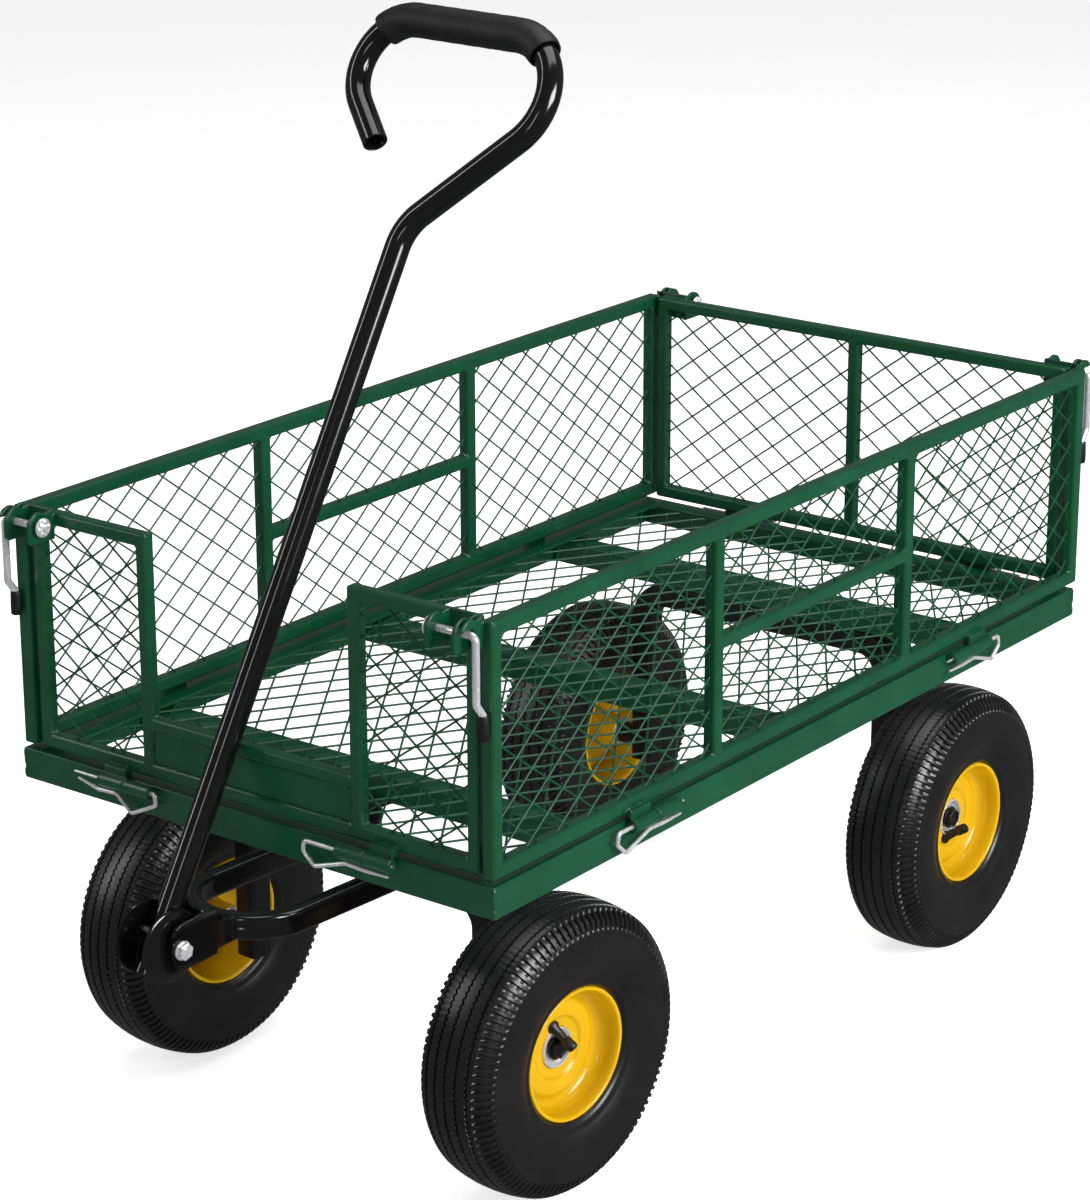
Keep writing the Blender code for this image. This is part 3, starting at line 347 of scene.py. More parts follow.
def wire_mesh(name, body, axes, diamond, wire):
    """Diamond wire mesh that fills a CAD mesh node's rectangle, welded at its crossings and ends."""
    low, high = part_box(name)
    centre = (low + high) / 2
    half_u, half_v = [(high[axis] - low[axis]) / 2 + WIRE_REACH for axis in axes[:2]]

    def on_axes(u, v, depth):
        made = Vector((0, 0, 0))
        made[axes[0]], made[axes[1]], made[axes[2]] = u, v, depth
        return made

    bm = bmesh.new()
    for slope, ends in mesh_wires(half_u, half_v, *diamond):
        (u0, v0), (u1, v1) = ends
        steps = max(2, round(math.dist(*ends) / WIRE_STEP))
        wave, bend = random.uniform(0, 6.28), random.uniform(-WIRE_BEND, WIRE_BEND)
        points = []
        for j in range(steps + 1):
            t = j / steps
            sag = bend * math.sin(math.pi * t) + WIRE_WAVE * math.sin(wave + 9 * t)
            depth = slope * wire * WIRE_WEAVE * min(1.0, 6 * t, 6 * (1 - t))
            points.append(centre + on_axes(u0 + (u1 - u0) * t, v0 + (v1 - v0) * t + sag, depth))
        tube(bm, points, [wire / 2] * len(points))
        for u, v in ends:
            on_post = abs(abs(u) - half_u) < 1e-5
            size = (0.45, 0.8, 0.7) if on_post else (0.8, 0.45, 0.7)
            blob(bm, centre + on_axes(u, v, 0), on_axes(*size) * wire)
    for u, v in mesh_crossings(half_u - wire, half_v - wire, *diamond):
        blob(bm, centre + on_axes(u, v, 0), on_axes(0.72, 0.72, 0.62) * wire)
    piece = add_piece(name + "_wires", bm, "green_powder_coat", body, (name,))
    piece.data.materials[0] = LOOKS["green_wire"]


def build_wire_meshes():
    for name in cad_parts:
        if name == "deck_mesh":
            wire_mesh(name, "cart_bed", (0, 1, 2), DECK_DIAMOND, DECK_WIRE)
        elif "_mesh_" in name and "side" in name:
            wire_mesh(name, name.split("_mesh_")[0], (1, 2, 0), PANEL_DIAMOND, PANEL_WIRE)
        elif "_mesh_" in name:
            body = "rear_gate" if name.startswith("rear") else "cart_bed"
            wire_mesh(name, body, (0, 2, 1), PANEL_DIAMOND, PANEL_WIRE)


# ---------------------------------------------------------------- welds
def build_panel_welds():
    """Beads in the inner corners of the side panels and gates, where posts meet rails."""
    for label, side in (("left", -1), ("right", 1)):
        bm = bmesh.new()
        x0, x1 = side * (TRAY_HALF_X - INSET), side * (TRAY_HALF_X - SIDE_TUBE + INSET)
        half = SIDE_TUBE / 2
        ys = [SIDE_POSTS[0], -MID_POST_Y - half, -MID_POST_Y + half, MID_POST_Y - half,
              MID_POST_Y + half, SIDE_POSTS[1]]
        for k, y in enumerate(ys):
            heights = [PANEL_BOTTOM + SIDE_TUBE, PANEL_TOP - SIDE_TUBE]
            if k in (2, 3):          # the middle rail runs between the two middle posts only
                heights += MID_RAIL
            for z in heights:
                bead(bm, (x0, y + TRAY_Y, z), (x1, y + TRAY_Y, z), PANEL_BEAD)
        add_piece(f"welds_{label}_side", bm, "green_powder_coat", label + "_side")

    for label, body, outer, way, posts in (
            ("front", "cart_bed", -FRONT_FACE, 1, (-GATE_CORNER_X, -0.122, 0.122, GATE_CORNER_X)),
            ("rear", "rear_gate", REAR_FACE, -1, (-GATE_CORNER_X, -0.006, 0.006, GATE_CORNER_X))):
        bm = bmesh.new()
        y0, y1 = outer + TRAY_Y + way * INSET, outer + TRAY_Y + way * (GATE_TUBE - INSET)
        for x in posts:
            for z in (PANEL_BOTTOM + SIDE_TUBE, PANEL_TOP - GATE_TUBE):
                bead(bm, (x, y0, z), (x, y1, z), GATE_BEAD)
        if label == "front":
            weld_front_plate(bm, outer + TRAY_Y, y0, y1)
        add_piece(f"welds_{label}_gate", bm, "green_powder_coat", body)


def weld_front_plate(bm, outer, y0, y1):
    """Beads where the notch rail and the plate under it meet the notch posts, and two plug welds."""
    face = outer + 0.0018
    low, high = PANEL_BOTTOM + SIDE_TUBE, NOTCH_TOP - GATE_TUBE
    for side in (-1, 1):
        x = side * NOTCH_HALF_X
        bead(bm, (x, y0, NOTCH_TOP), (x, y1, NOTCH_TOP), GATE_BEAD)
        bead(bm, (x, y0, high), (x, y1 - 0.005, high), PLATE_BEAD)
        bead(bm, (x, face, low + INSET), (x, face, low + 0.012), PLATE_BEAD)
        bead(bm, (x, face, high - 0.013), (x, face, high - INSET), PLATE_BEAD)
        bead(bm, (x - side * 0.004, face, high), (x - side * 0.034, face, high), SEAM_BEAD)
        bead(bm, (x - side * 0.010, face, low), (x - side * 0.030, face, low), SEAM_BEAD)
        blob(bm, (x - side * 0.055, face, low + 0.006), (0.0022, 0.0009, 0.0022), 2)


def hinge_places():
    """The eight hinges: name, body of the panel, axis point, direction along and outwards, span."""
    for label, side in (("left", -1), ("right", 1)):
        for end, way in (("front", -1), ("rear", 1)):
            at = Vector((side * (TRAY_HALF_X + HINGE_OUT), TRAY_Y, HINGE_Z))
            yield (f"{label}_side_{end}", label + "_side", at, Vector((0, way, 0)),
                   Vector((side, 0, 0)), SIDE_HINGE, TRAY_HALF_X, TRAY_HALF_X)
    for label, way, y, face in (("front", -1, -TRAY_HALF_Y - HINGE_OUT, FRONT_FACE),
                                ("rear", 1, REAR_FACE + HINGE_OUT, REAR_FACE)):
        for end, side in (("left", -1), ("right", 1)):
            body = "cart_bed" if label == "front" else "rear_gate"
            yield (f"{label}_gate_{end}", body, Vector((0, y + TRAY_Y, HINGE_Z)),
                   Vector((side, 0, 0)), Vector((0, way, 0)), GATE_HINGE, TRAY_HALF_Y, face)


def build_tray_welds():
    """Corner seams of the tray, and beads along the hinge knuckles."""
    bm = bmesh.new()
    for sx in (-1, 1):
        for sy in (-1, 1):
            corner = Vector((sx * (TRAY_HALF_X - SUNK), sy * (TRAY_HALF_Y - SUNK) + TRAY_Y, 0))
            for low, high in ((0.309, 0.317), (0.321, 0.335)):
                bead(bm, corner + Vector((0, 0, low)), corner + Vector((0, 0, high)), SEAM_BEAD)
            inner = corner - Vector((sx * 0.024, sy * 0.017, 0))
            bead(bm, corner + Vector((-sx * 0.004, -sy * 0.003, TRAY_TOP)),
                 inner + Vector((0, 0, TRAY_TOP)), MITRE_BEAD)
    panel = {"left_side": bmesh.new(), "right_side": bmesh.new(), "rear_gate": bmesh.new()}
    middle = Vector((0, TRAY_Y, 0))
    for _, body, _, along, out, span, tray_face, face in hinge_places():
        base = middle + out * (tray_face + PROUD)
        z = HINGE_Z - 0.0048
        bead(bm, base + along * (span[0] + 0.003) + Vector((0, 0, z)),
             base + along * (span[1] - 0.003) + Vector((0, 0, z)), SEAM_BEAD)
        target = panel.get(body, bm)
        base = middle + out * (face + PROUD)
        z = PANEL_BOTTOM + 0.0042
        bead(target, base + along * (span[1] + 0.003) + Vector((0, 0, z)),
             base + along * (span[2] - 0.003) + Vector((0, 0, z)), TAB_BEAD)
    add_piece("welds_tray", bm, "green_powder_coat", "cart_bed")
    for body, made in panel.items():
        add_piece("welds_hinge_" + body, made, "green_powder_coat", body)


# ---------------------------------------------------------------- clips and latches
def build_clips():
    """Bent wire pins through the hinge knuckles; the front gate's are pushed in to two depths."""
    for name, _, at, along, out, span, _, _ in hinge_places():
        half_out = name == "front_gate_right"
        on_side = "side" in name
        if on_side:
            start, way = span[2] + 0.019, -1
        else:
            start, way = span[0] - (0.036 if half_out else 0.004), 1
        hanging = on_side or half_out
        low = (0.011, -0.0205) if hanging else (0.028, -0.024)
        tail = -0.0105 if hanging else -0.0055
        # (distance from the bend, height): shank through the knuckles, bend, spring leg, tail
        corners = [(0.094, 0.0), (0.0, 0.0), (-0.001, -0.010), low, (0.045, -0.0095),
                   (0.066, -0.0105), (0.090, tail)]
        path = round_path(corners, (0.004, 0.004, 0.004, 0.006, 0.006), 6)
        points = [at + along * (start + way * u) + Vector((0, 0, v)) for u, v in path]
        radii = [CLIP_WIRE * 0.55] + [CLIP_WIRE] * (len(path) - 2) + [CLIP_WIRE * 0.55]
        bm = bmesh.new()
        join_rings(bm, sweep_rings(bm, points, out, [circle(radius, 12) for radius in radii]))
        add_piece(f"clip_{name}_wire", bm, "zinc_plate", "cart_bed", ("clip_" + name,))


def build_latches():
    """Corner latches: a rod with a push nut, bent down into a lever with a rubber sleeve."""
    for end, way, end_y in (("front", -1, -TRAY_HALF_Y), ("rear", 1, REAR_FACE)):
        for label, side in (("left", -1), ("right", 1)):
            name = end + "_" + label
            rod_y = end_y + way * LATCH_Y_OUT + TRAY_Y
            points = [Vector((side * ROD_START, rod_y, LATCH_Z))]
            bend = round_path([(ROD_START + 0.001, 0), (LEVER_X, 0), (LEVER_X, -LEVER_BEND)],
                              (0.0055,), 8)
            points += [Vector((side * u, rod_y, LATCH_Z + v)) for u, v in bend]
            knee = round_path([(0, -LEVER_BEND), (0, -0.057), (LEVER_KINK, -0.068),
                               (LEVER_KINK, -LEVER_TIP)], (0.006, 0.006), 4)
            points += [Vector((side * LEVER_X, rod_y - way * u, LATCH_Z + v)) for u, v in knee[1:]]
            radii = [LATCH_ROD * 0.7] + [LATCH_ROD * 0.98] * (len(points) - 1)
            bm = bmesh.new()
            tube(bm, points, radii, 20)
            push_nut(bm, Vector((side * NUT_X, rod_y, LATCH_Z)), side)
            add_piece(f"latch_{name}_rod", bm, "zinc_plate", "latch_" + name,
                      ("latch_lever_" + name,))
            cap = bmesh.new()
            # (height from the rod, radius)
            profile = [(-0.0895, 0.0034), (-0.0891, 0.0044), (-0.0882, 0.0049), (-0.080, 0.0050),
                       (-0.072, 0.0047), (-0.0685, 0.0046), (-0.0677, 0.0043), (-0.0675, 0.0034)]
            lathe(cap, profile, (side * LEVER_X, rod_y - way * LEVER_KINK, LATCH_Z), (0, 0, 1),
                  28, closed=False)
            add_piece(f"latch_{name}_sleeve", cap, "cap_rubber", "latch_" + name,
                      ("latch_cap_" + name,))


def push_nut(bm, at, side):
    """Domed spring washer with six teeth on the rod's inner end."""
    count = 48
    rings = []
    for along, radius, lift in ((0.0024, 0.0076, 0.0), (0.0022, 0.0084, 0.0), (0.0012, 0.0085, 0.0),
                                (0.0002, 0.0080, 0.0), (-0.0006, 0.0066, 0.0003),
                                (-0.0012, 0.0048, 0.0009), (-0.0010, 0.0036, 0.0011)):
        ring = []
        for k in range(count):
            angle = 2 * math.pi * k / count
            tooth = lift * (1 if k % 8 < 4 else -0.6)
            ring.append(bm.verts.new(at + Vector((side * (along - tooth), radius * math.cos(angle),
                                                  radius * math.sin(angle)))))
        rings.append(ring)
    join_rings(bm, rings)


# ---------------------------------------------------------------- wheels
TREAD_GROOVES = (-0.0222, -0.0111, 0.0, 0.0111, 0.0222)
LUGS, LUG_STEPS, ZIG_STEPS = 108, 8, 6
SIDEWALL = ((0.0305, 0.0603), (0.0332, 0.0622), (0.0346, 0.0640), (0.0352, 0.0662),
            (0.0350, 0.0684), (0.0362, 0.0706), (0.0382, 0.0762), (0.0396, 0.0830),
            (0.0403, 0.0900), (0.0405, 0.0965), (0.0402, 0.1025), (0.0397, 0.1070),
            (0.0395, 0.1084), (0.0398, 0.1096), (0.0396, 0.1112))
SHOULDER = ((0.0390, 0.1128, 0.25), (0.0382, 0.1152, 0.8), (0.0368, 0.1182, 1.0),
            (0.0350, 0.1212, 1.0), (0.0327, 0.1240, 1.0), (0.0302, 0.1262, 1.0),
            (0.0282, 0.1275, 0.9), (0.0272, 0.1281, 0.0))
LUG_DEPTH, TREAD_HALF, TREAD_CROWN = 0.0033, 0.0272, 0.0034
GROOVE_DEPTH, ZIG_WIDTH, LUG_SHOULDER = 0.0019, 0.0009, 0.120
WHEEL_TURNS = {"front_right": 12, "rear_right": 158, "front_left": 60, "rear_left": 240}


def tread_radius(x):
    """The tread's crowned profile, a little under the wheel's radius in the middle."""
    return WHEEL_RADIUS - 0.00015 - TREAD_CROWN * (abs(x) / TREAD_HALF) ** 2.2


def tyre_columns():
    """Across the tyre: (x, radius, lug depth, zig-zag) for each column of vertices."""
    side = [(x, r, 0.0, 0.0) for x, r in SIDEWALL] + [(x, r, f, 0.0) for x, r, f in SHOULDER]
    tread = []
    for centre in TREAD_GROOVES[::-1]:
        for step, depth in ((0.0012, 0.0), (0.0007, GROOVE_DEPTH), (-0.0007, GROOVE_DEPTH),
                            (-0.0012, 0.0)):
            tread.append((centre + step, tread_radius(centre + step) - depth, 0.0, 1.0))
        middle = centre - 0.0056
        if centre > TREAD_GROOVES[0]:
            tread.append((middle, tread_radius(middle) + 0.0001, 0.0, 0.0))
    return side + tread + [(-x, r, f, 0.0) for x, r, f, _ in reversed(side)]


def build_tyre_mesh():
    """Tyre with zigzag grooves round the tread and lugs round both shoulders."""
    bm = bmesh.new()
    around = LUGS * LUG_STEPS
    rings = []
    for x, r, lug, zig in tyre_columns():
        ring = []
        for k in range(around):
            phase = (k % ZIG_STEPS) / ZIG_STEPS
            angle = 2 * math.pi * k / around
            groove = 1.0 if k % LUG_STEPS >= LUG_STEPS // 2 else 0.0
            swing = 2 * abs(2 * phase - 1) - 1
            shift = ZIG_WIDTH * zig * swing
            drop = LUG_DEPTH * lug * groove
            radius = r - drop * (0.85 if r > LUG_SHOULDER else 0.45)
            inwards = drop * (0.25 if r > LUG_SHOULDER else 0.75) * (1 if x > 0 else -1)
            ring.append(bm.verts.new((x + shift - inwards, radius * math.cos(angle),
                                      radius * math.sin(angle))))
        rings.append(ring)
    join_rings(bm, rings, closed=True)
    return make_mesh("tyre_shape", bm)


def build_rim_mesh():
    """Pressed rim: rolled lips on a barrel, and a dished disc with a hub tube and one slot."""
    bm = bmesh.new()
    lip = [(0.0285, 0.0600), (0.0303, 0.0601), (0.0316, 0.0596), (0.0322, 0.0586), (0.0320, 0.0575),
           (0.0311, 0.0566), (0.0297, 0.0561), (0.0240, 0.0557)]
    barrel = lip + [(-x, r) for x, r in reversed(lip)] + [(-0.0270, 0.0582), (0.0270, 0.0582)]
    lathe(bm, barrel, (0, 0, 0), (1, 0, 0), 128)
    face = [(0.0215, 0.0560), (0.0165, 0.0552), (0.0125, 0.0536), (0.0098, 0.0512), (0.0086, 0.0485),
            (0.0084, 0.0466), (0.0091, 0.0450), (0.0106, 0.0436), (0.0115, 0.0420), (0.0118, 0.0400),
            (0.0118, 0.0310), (0.0115, 0.0296), (0.0105, 0.0284), (0.0094, 0.0276), (0.0089, 0.0262),
            (0.0087, 0.0220), (0.0090, 0.0198), (0.0090, 0.0190), (0.0080, 0.0186), (0.0020, 0.0186)]
    back = [(-0.034, 0.0140), (-0.034, 0.0158), (-0.004, 0.0162), (0.0010, 0.0190), (0.0050, 0.0210),
            (0.0064, 0.0230), (0.0064, 0.0300), (0.0094, 0.0312), (0.0094, 0.0400), (0.0066, 0.0440),
            (0.0060, 0.0485), (0.0072, 0.0520), (0.0098, 0.0545), (0.0150, 0.0565), (0.0215, 0.0570)]
    lathe(bm, face + back, (0, 0, 0), (1, 0, 0), 128)
    angle = math.radians(200)
    slot = Vector((0.0113, 0.0350 * math.cos(angle), 0.0350 * math.sin(angle)))
    blob(bm, slot, (0.0008, 0.0012, 0.0040), 3)
    return make_mesh("rim_shape", bm)


def build_bearing_mesh():
    """Pressed bearing cups in the outer and inner ends of the hub."""
    bm = bmesh.new()
    cup = [(0.0030, 0.0184), (0.0104, 0.0184), (0.0111, 0.0179), (0.0111, 0.0170), (0.0102, 0.0163),
           (0.0062, 0.0160), (0.0056, 0.0154), (0.0056, 0.0141), (0.0068, 0.0137), (0.0076, 0.0132),
           (0.0076, 0.0120), (0.0064, 0.0114), (0.0064, 0.0086), (0.0030, 0.0086)]
    lathe(bm, cup, (0, 0, 0), (1, 0, 0), 64)
    inner = [(-0.0300, 0.0136), (-0.0341, 0.0136), (-0.0348, 0.0130), (-0.0348, 0.0120),
             (-0.0342, 0.0114), (-0.0342, 0.0086), (-0.0300, 0.0086)]
    lathe(bm, inner, (0, 0, 0), (1, 0, 0), 64)
    return make_mesh("bearing_shape", bm)


def build_valve_mesh():
    """Rubber valve stem: it leaves the disc above the hub and leans over it, with a ribbed cap."""
    bm = bmesh.new()
    root, direction = Vector((0.0085, 0.0, 0.0205)), Vector((0.82, 0.0, -0.57)).normalized()
    profile = [(-0.002, 0.0062), (0.0005, 0.0064), (0.0020, 0.0056), (0.0040, 0.0046),
               (0.0130, 0.0038), (0.0150, 0.0036), (0.0152, 0.0046), (0.0160, 0.0050),
               (0.0185, 0.0050), (0.0187, 0.0047), (0.0205, 0.0050), (0.0240, 0.0049),
               (0.0256, 0.0044), (0.0262, 0.0034)]
    lathe(bm, profile, root, direction, 40, closed=False)
    return make_mesh("valve_shape", bm)


def build_wheels():
    tyre, rim, bearing, valve = (build_tyre_mesh(), build_rim_mesh(), build_bearing_mesh(),
                                 build_valve_mesh())
    for name, turn in WHEEL_TURNS.items():
        axle = STEERING if name.startswith("front") else REAR_AXLE
        side = 1 if name.endswith("right") else -1
        face = Matrix.Rotation(0.0 if side > 0 else math.pi, 4, "Z")
        place = axle @ Matrix.Translation((side * WHEEL_MID_X, 0, WHEEL_RADIUS)) @ face
        place = place @ Matrix.Rotation(math.radians(turn), 4, "X")
        body = "wheel_" + name
        add_mesh(f"tyre_{name}_tread", tyre, "tyre_rubber", body, ("tyre_" + name,), 50, place)
        add_mesh(f"rim_{name}_disc", rim, "wheel_yellow", body, ("rim_" + name,), 50, place)
        add_mesh(f"bearing_{name}", bearing, "zinc_plate", body, (), 40, place)
        add_mesh(f"valve_{name}", valve, "cap_rubber", body, (), 40, place)


def build_axles():
    """Stub axles with a washer and a six-sided nut outside the hub."""
    for name, place, body in (("front", STEERING, "front_axle"), ("rear", REAR_AXLE, "cart_bed")):
        for label, side in (("left", -1), ("right", 1)):
            bm = bmesh.new()
            origin = (side * WHEEL_MID_X, 0, WHEEL_RADIUS)
            shaft = [(-0.0545, 0.0115), (-0.0360, 0.0115), (-0.0350, 0.0080), (0.0125, 0.0080),
                     (0.0138, 0.0072)]
            lathe(bm, shaft, origin, (side, 0, 0), 40, closed=False)
            lathe(bm, [(0.0094, 0.0084), (0.0094, 0.0108), (0.0106, 0.0108), (0.0106, 0.0084)],
                  origin, (side, 0, 0), 40)
            lathe(bm, [(0.0107, 0.0078), (0.0107, 0.0088), (0.0112, 0.0094), (0.0144, 0.0094),
                       (0.0152, 0.0084), (0.0152, 0.0078)], origin, (side, 0, 0), 6)
            add_piece(f"axle_{name}_{label}_stub", bm, "satin_black", body,
                      (f"axle_{name}_{label}",), place, 35)


# ---------------------------------------------------------------- arches, drawbar, handle
def build_arches():
    for name, top, place, body in (("rear_arch", REAR_ARCH_Z, REAR_AXLE, "cart_bed"),
                                   ("front_arch", FRONT_ARCH_Z, STEERING, "front_axle")):
        bm = bmesh.new()
        corners = [(-ARCH_LEG_X, ARCH_FOOT_Z), (-ARCH_LEG_X, top), (ARCH_LEG_X, top),
                   (ARCH_LEG_X, ARCH_FOOT_Z)]
        path = [Vector((u, 0, v)) for u, v in round_path(corners, (ARCH_BEND, ARCH_BEND), 14)]
        section = box_section(ARCH_TUBE, ARCH_TUBE, 0.0035, 5)
        join_rings(bm, sweep_rings(bm, path, (0, 1, 0), [section] * len(path)))
        for side in (-1, 1):
            outside = side * (ARCH_LEG_X + ARCH_TUBE / 2)
            ring = [Vector((outside, 0.0118 * math.cos(a), WHEEL_RADIUS + 0.0118 * math.sin(a)))
                    for a in (2 * math.pi * k / 40 for k in range(41))]
            tube(bm, ring, [0.0014 * (1 + 0.2 * (k % 2)) for k in range(41)])
        add_piece(name + "_tube", bm, "satin_black", body, (name,), place, 35)


def clevis_outline():
    """Tall plate with a bowed nose, and a neck of the tube's height that runs into the loop."""
    top, bottom = CLEVIS_NOSE
    back, steps, half = PIVOT_Y + CLEVIS_LENGTH, 24, 0.0109
    loop = WISHBONE_BEND_Y - math.sqrt(WISHBONE_X ** 2 - CLEVIS_FACES[0] ** 2)
    nose = [(PIVOT_Y - CLEVIS_BOW * math.sin(math.pi * k / steps) ** 0.5,
             PIVOT_Z + top - (top + bottom) * k / steps) for k in range(steps + 1)]
    top, bottom = CLEVIS_BACK
    return nose + [(back, PIVOT_Z - bottom), (back, PIVOT_Z - half), (loop, PIVOT_Z - half),
                   (loop, PIVOT_Z + half), (back, PIVOT_Z + half), (back, PIVOT_Z + top)]


def build_wishbone():
    """Drawbar: a box tube bent into a U, its sides dented round the bend, and two clevis plates."""
    bm = bmesh.new()
    rear = -ARCH_TUBE / 2 - 0.0003
    front = WISHBONE_BEND_Y - WISHBONE_X
    corners = [(WISHBONE_X, rear), (WISHBONE_X, front), (-WISHBONE_X, front), (-WISHBONE_X, rear)]
    radius = WISHBONE_X - 0.0005
    path = [Vector((u, v, PIVOT_Z)) for u, v in round_path(corners, (radius, radius), 22)]
    last = len(path) - 1
    dents = [0.0028 * max(0.001, 1 - abs(2 * k / last - 1) ** 4) for k in range(len(path))]
    sections = [box_section(*WISHBONE_TUBE, 0.0042, 6, hollow=dent) for dent in dents]
    join_rings(bm, sweep_rings(bm, path, (0, 0, 1), sections))
    outline = clevis_outline()
    outside = WISHBONE_X + WISHBONE_TUBE[0] / 2
    seam = WISHBONE_BEND_Y - math.sqrt(outside ** 2 - CLEVIS_FACES[1] ** 2) - 0.0004
    for side in (-1, 1):
        plate(bm, outline, lambda u, v, d: (side * (CLEVIS_FACES[0] + d), u, v),
              CLEVIS_FACES[1] - CLEVIS_FACES[0])
        x = side * (CLEVIS_FACES[1] - 0.0002)
        bead(bm, (x, seam, PIVOT_Z - 0.010), (x, seam, PIVOT_Z + 0.010), PLATE_BEAD)
        for z in (-0.0105, 0.0105):
            bead(bm, (side * (WISHBONE_X - 0.007), rear + 0.0004, PIVOT_Z + z),
                 (side * (WISHBONE_X + 0.007), rear + 0.0004, PIVOT_Z + z), 0.0016)
    add_piece("wishbone_tube", bm, "gloss_black", "front_axle", ("wishbone",), STEERING, 35)


def hexagon(bm, low, high, width, chamfer):
    """Six-sided head along X between two positions, with a turned chamfer on the high side."""
    rings = []
    for along, scale in ((low, 1.0), (high - chamfer, 1.0), (high, 0.88)):
        rings.append([bm.verts.new((along, PIVOT_Y + scale * width * math.cos(a),
                                    PIVOT_Z + scale * width * math.sin(a)))
                      for a in (math.pi * k / 3 + 0.3 for k in range(6))])
    join_rings(bm, rings)


def build_pivot_bolt():
    bm = bmesh.new()
    centre = (0, PIVOT_Y, PIVOT_Z)
    face = CLEVIS_FACES[1]
    end = face + 0.0068
    lathe(bm, [(-end, 0.0040), (0.0006 - end, 0.0049), (end - 0.0006, 0.0049), (end, 0.0042)], centre,
          (1, 0, 0), 24, closed=False)
    for side in (-1, 1):
        washer = [(face + 0.0002, 0.0052), (face + 0.0002, 0.0085), (face + 0.0012, 0.0085),
                  (face + 0.0012, 0.0052)]
        lathe(bm, washer, centre, (side, 0, 0), 40)
        hexagon(bm, side * (face + 0.0013), side * (face + 0.0062), 0.0076, side * 0.0012)
    add_piece("pivot_bolt_hex", bm, "zinc_plate", "front_axle", ("pivot_bolt",), STEERING, 30)


def handle_place(u, v):
    return (u, PIVOT_Y + v * math.sin(HANDLE_LEAN), PIVOT_Z + v * math.cos(HANDLE_LEAN))


def handle_rings(bm, path, radii, inwards=False):
    """Round rings along a path in the handle's plane, not yet joined."""
    points = [Vector(handle_place(u, v)) for u, v in path]
    return sweep_rings(bm, points, HANDLE_NORMAL, [circle(radius, 40) for radius in radii], inwards)


def build_handle():
    """Handle tube, from its foot on the pivot to the open end of its curl."""
    reach = HANDLE_REACH
    corners = [(0.0, -HANDLE_FOOT), (0.0, reach - JOG_DROP), (JOG_DROP, reach),
               (-LOOP_LEFT, reach), (-CURL_X, reach - CURL_DROP)]
    path = round_path(corners, (0.045, 0.0523, 0.047), 20)
    end = path[-1]
    back = (path[-2] - end).normalized()
    walk = path[:-1] + [end + back * 0.0004, end]
    inner = [end, end + back * 0.0004, end + back * 0.0300]
    bm = bmesh.new()
    rings = handle_rings(bm, walk, [HANDLE_RADIUS] * len(path) + [HANDLE_RADIUS * 0.965])
    rings += handle_rings(bm, inner, [HANDLE_RADIUS * size for size in (0.87, 0.84, 0.84)],
                          inwards=True)
    join_rings(bm, rings)
    add_piece("handle_tube_round", bm, "gloss_black", "handle", ("handle_tube",), STEERING, 40)
    build_shoe()
    build_grip(path)


def build_shoe():
    """Two dished cheeks on a bush at the handle's foot, welded along the tube."""
    bm = bmesh.new()
    disc = [(0.0205, 0.0056), (0.0205, 0.0105), (0.0202, 0.0165), (0.0195, 0.0220), (0.0186, 0.0265),
            (0.0178, 0.0296), (0.0174, 0.0312), (0.0165, 0.0320), (0.0153, 0.0317), (0.0149, 0.0303),
            (0.0160, 0.0262), (0.0170, 0.0215), (0.0176, 0.0160), (0.0178, 0.0056)]
    for side in (-1, 1):
        lathe(bm, disc, (0, PIVOT_Y, PIVOT_Z), (side, 0, 0), 80)
    bush = [(-0.0251, 0.0056), (-0.0251, 0.0120), (0.0251, 0.0120), (0.0251, 0.0056)]
    lathe(bm, bush, (0, PIVOT_Y, PIVOT_Z), (1, 0, 0), 40)
    for side in (-1, 1):
        x = side * 0.0130
        bead(bm, handle_place(x, -0.026), handle_place(x, 0.0295), 0.0024)
    add_piece("handle_shoe", bm, "gloss_black", "handle", (), STEERING, 35)


def build_grip(path):
    """Foam sleeve round the top bar, a little flared where it follows the bend on the right."""
    level = []
    for a, b in zip(path, path[1:]):
        steps = max(1, round((b - a).length / 0.003))
        level += [a.lerp(b, k / steps) for k in range(steps)]
    level = [p for p in level if p.y > HANDLE_REACH - 0.0135 and abs(p.x) < GRIP_HALF_LENGTH]
    count = len(level)
    outer, inner = [], []
    for k in range(count):
        t = k / (count - 1)
        from_end = min(k, count - 1 - k)
        round_off = (0.955, 0.99)[from_end] if from_end < 2 else 1.0
        flare = 1.0 + 0.035 * math.exp(-min(t, 1 - t) * 30)
        ripple = 1.0 + 0.006 * math.sin(k * 0.9) + 0.004 * math.sin(k * 2.3)
        outer.append(GRIP_RADIUS * round_off * min(flare * ripple, 1.015))
        inner.append(0.0132 if from_end < 2 else 0.0113)
    bm = bmesh.new()
    rings = handle_rings(bm, level, outer)
    rings += handle_rings(bm, level, inner)[::-1]
    join_rings(bm, rings, closed=True)
    add_piece("handle_grip_foam", bm, "grip_foam", "handle", ("handle_grip",), STEERING, 60)


# ---------------------------------------------------------------- CAD nodes that stay
def dress_cad_nodes():
    """Frames, cross members and the front plate in green with soft edges; the king pin in black."""
    for name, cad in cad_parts.items():
        if cad.hide_render:
            continue
        for material_slot in cad.material_slots:
            material_slot.material = LOOKS["satin_black" if name == "king_pin" else "green_edges"]


# ---------------------------------------------------------------- stage, light and camera
FLOOR_HALF, FLOOR_STEPS, FLOOR_GLOW = 60.0, 24, 0.70
WORLD_LIGHT = 0.14
CAMERA_AT, CAMERA_LENS = (1.8727, -2.4820, 1.4673), 3.267 * 36.0
AZIMUTH, ELEVATION, ROLL = math.radians(37.12), math.radians(18.76), math.radians(-0.12)


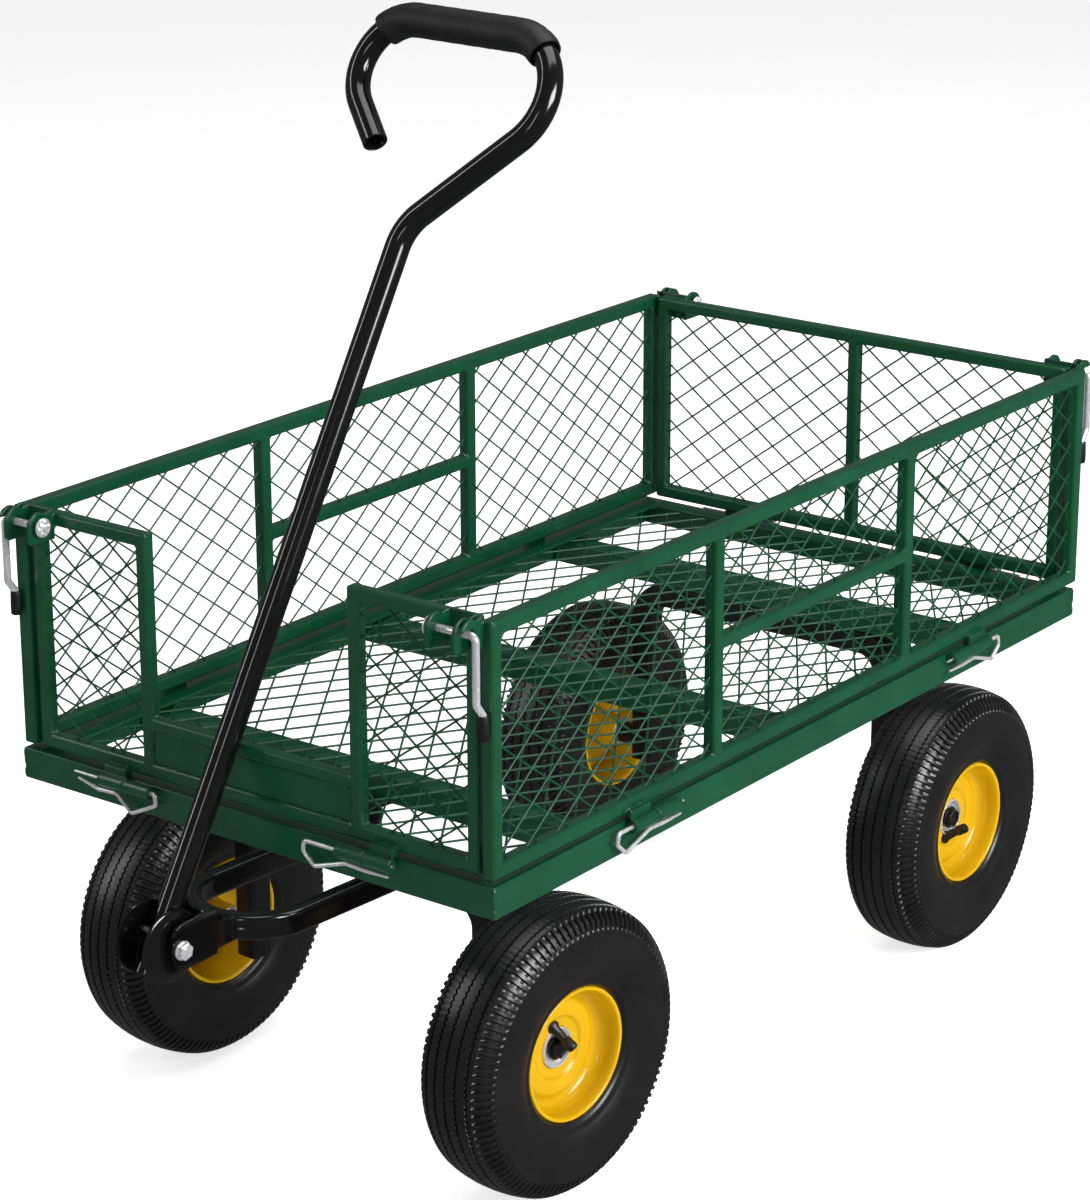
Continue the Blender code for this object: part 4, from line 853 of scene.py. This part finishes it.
def build_floor():
    """Plain pale floor; glossy rays miss it, so its white stays out of the dark paint."""
    bm = bmesh.new()
    ticks = [FLOOR_HALF * (2 * i / FLOOR_STEPS - 1) for i in range(FLOOR_STEPS + 1)]
    grid = [[bm.verts.new((x, y, 0.0)) for y in ticks] for x in ticks]
    for i in range(FLOOR_STEPS):
        for j in range(FLOOR_STEPS):
            bm.faces.new((grid[i][j], grid[i + 1][j], grid[i + 1][j + 1], grid[i][j + 1]))
    mesh = bpy.data.meshes.new("floor")
    bm.to_mesh(mesh)
    bm.free()
    mesh.materials.append(finish("floor_paper", (0.86, 0.86, 0.86), (0.90, 0.90, 0.90), (0.7, 0.85),
                                 60, 0.0001, spread=2.0, specular=0.1))
    shader = mesh.materials[0].node_tree.nodes["Principled BSDF"]
    shader.inputs["Emission Color"].default_value = (1, 1, 1, 1)
    shader.inputs["Emission Strength"].default_value = FLOOR_GLOW
    floor = bpy.data.objects.new("floor", mesh)
    bpy.context.scene.collection.objects.link(floor)
    floor.visible_glossy = False


def add_light(name, at, target, size, power):
    data = bpy.data.lights.new(name, "AREA")
    data.shape = "RECTANGLE"
    data.size, data.size_y = size
    data.energy = power
    light = bpy.data.objects.new(name, data)
    light.location = at
    light.rotation_mode = "QUATERNION"
    light.rotation_quaternion = (Vector(target) - Vector(at)).to_track_quat("-Z", "Y")
    bpy.context.scene.collection.objects.link(light)


def build_light():
    world = bpy.data.worlds.new("studio")
    world.use_nodes = True
    background = world.node_tree.nodes["Background"]
    background.inputs["Color"].default_value = (1, 1, 1, 1)
    background.inputs["Strength"].default_value = WORLD_LIGHT
    bpy.context.scene.world = world
    middle = (0, 0, 0.4)
    add_light("overhead", (0.2, 0.5, 3.4), (0, 0.1, 0.3), (2.2, 2.8), 70)
    add_light("right_softbox", (3.4, -0.2, 1.9), middle, (2.0, 1.4), 185)
    add_light("left_strip", (-2.8, -2.2, 1.9), middle, (0.25, 2.2), 26)
    add_light("front_strip", (1.2, -4.4, 2.2), middle, (0.3, 1.6), 15)


def build_camera():
    forward = Vector((-math.sin(AZIMUTH) * math.cos(ELEVATION),
                      math.cos(AZIMUTH) * math.cos(ELEVATION), -math.sin(ELEVATION)))
    data = bpy.data.cameras.new("camera")
    data.sensor_fit = "HORIZONTAL"
    data.sensor_width = 36.0
    data.lens = CAMERA_LENS
    data.clip_start, data.clip_end = 0.05, 60
    data.dof.use_dof = False
    camera = bpy.data.objects.new("camera", data)
    camera.rotation_mode = "QUATERNION"
    level = forward.to_track_quat("-Z", "Y").to_matrix()
    camera.rotation_quaternion = (level @ Matrix.Rotation(ROLL, 3, "Z")).to_quaternion()
    camera.location = CAMERA_AT
    bpy.context.scene.collection.objects.link(camera)
    bpy.context.scene.camera = camera


build_wire_meshes()
build_panel_welds()
build_tray_welds()
build_clips()
build_latches()
build_wheels()
build_axles()
build_arches()
build_wishbone()
build_pivot_bolt()
build_handle()
dress_cad_nodes()
build_floor()
build_light()
build_camera()
bpy.context.scene.view_settings.view_transform = "Standard"
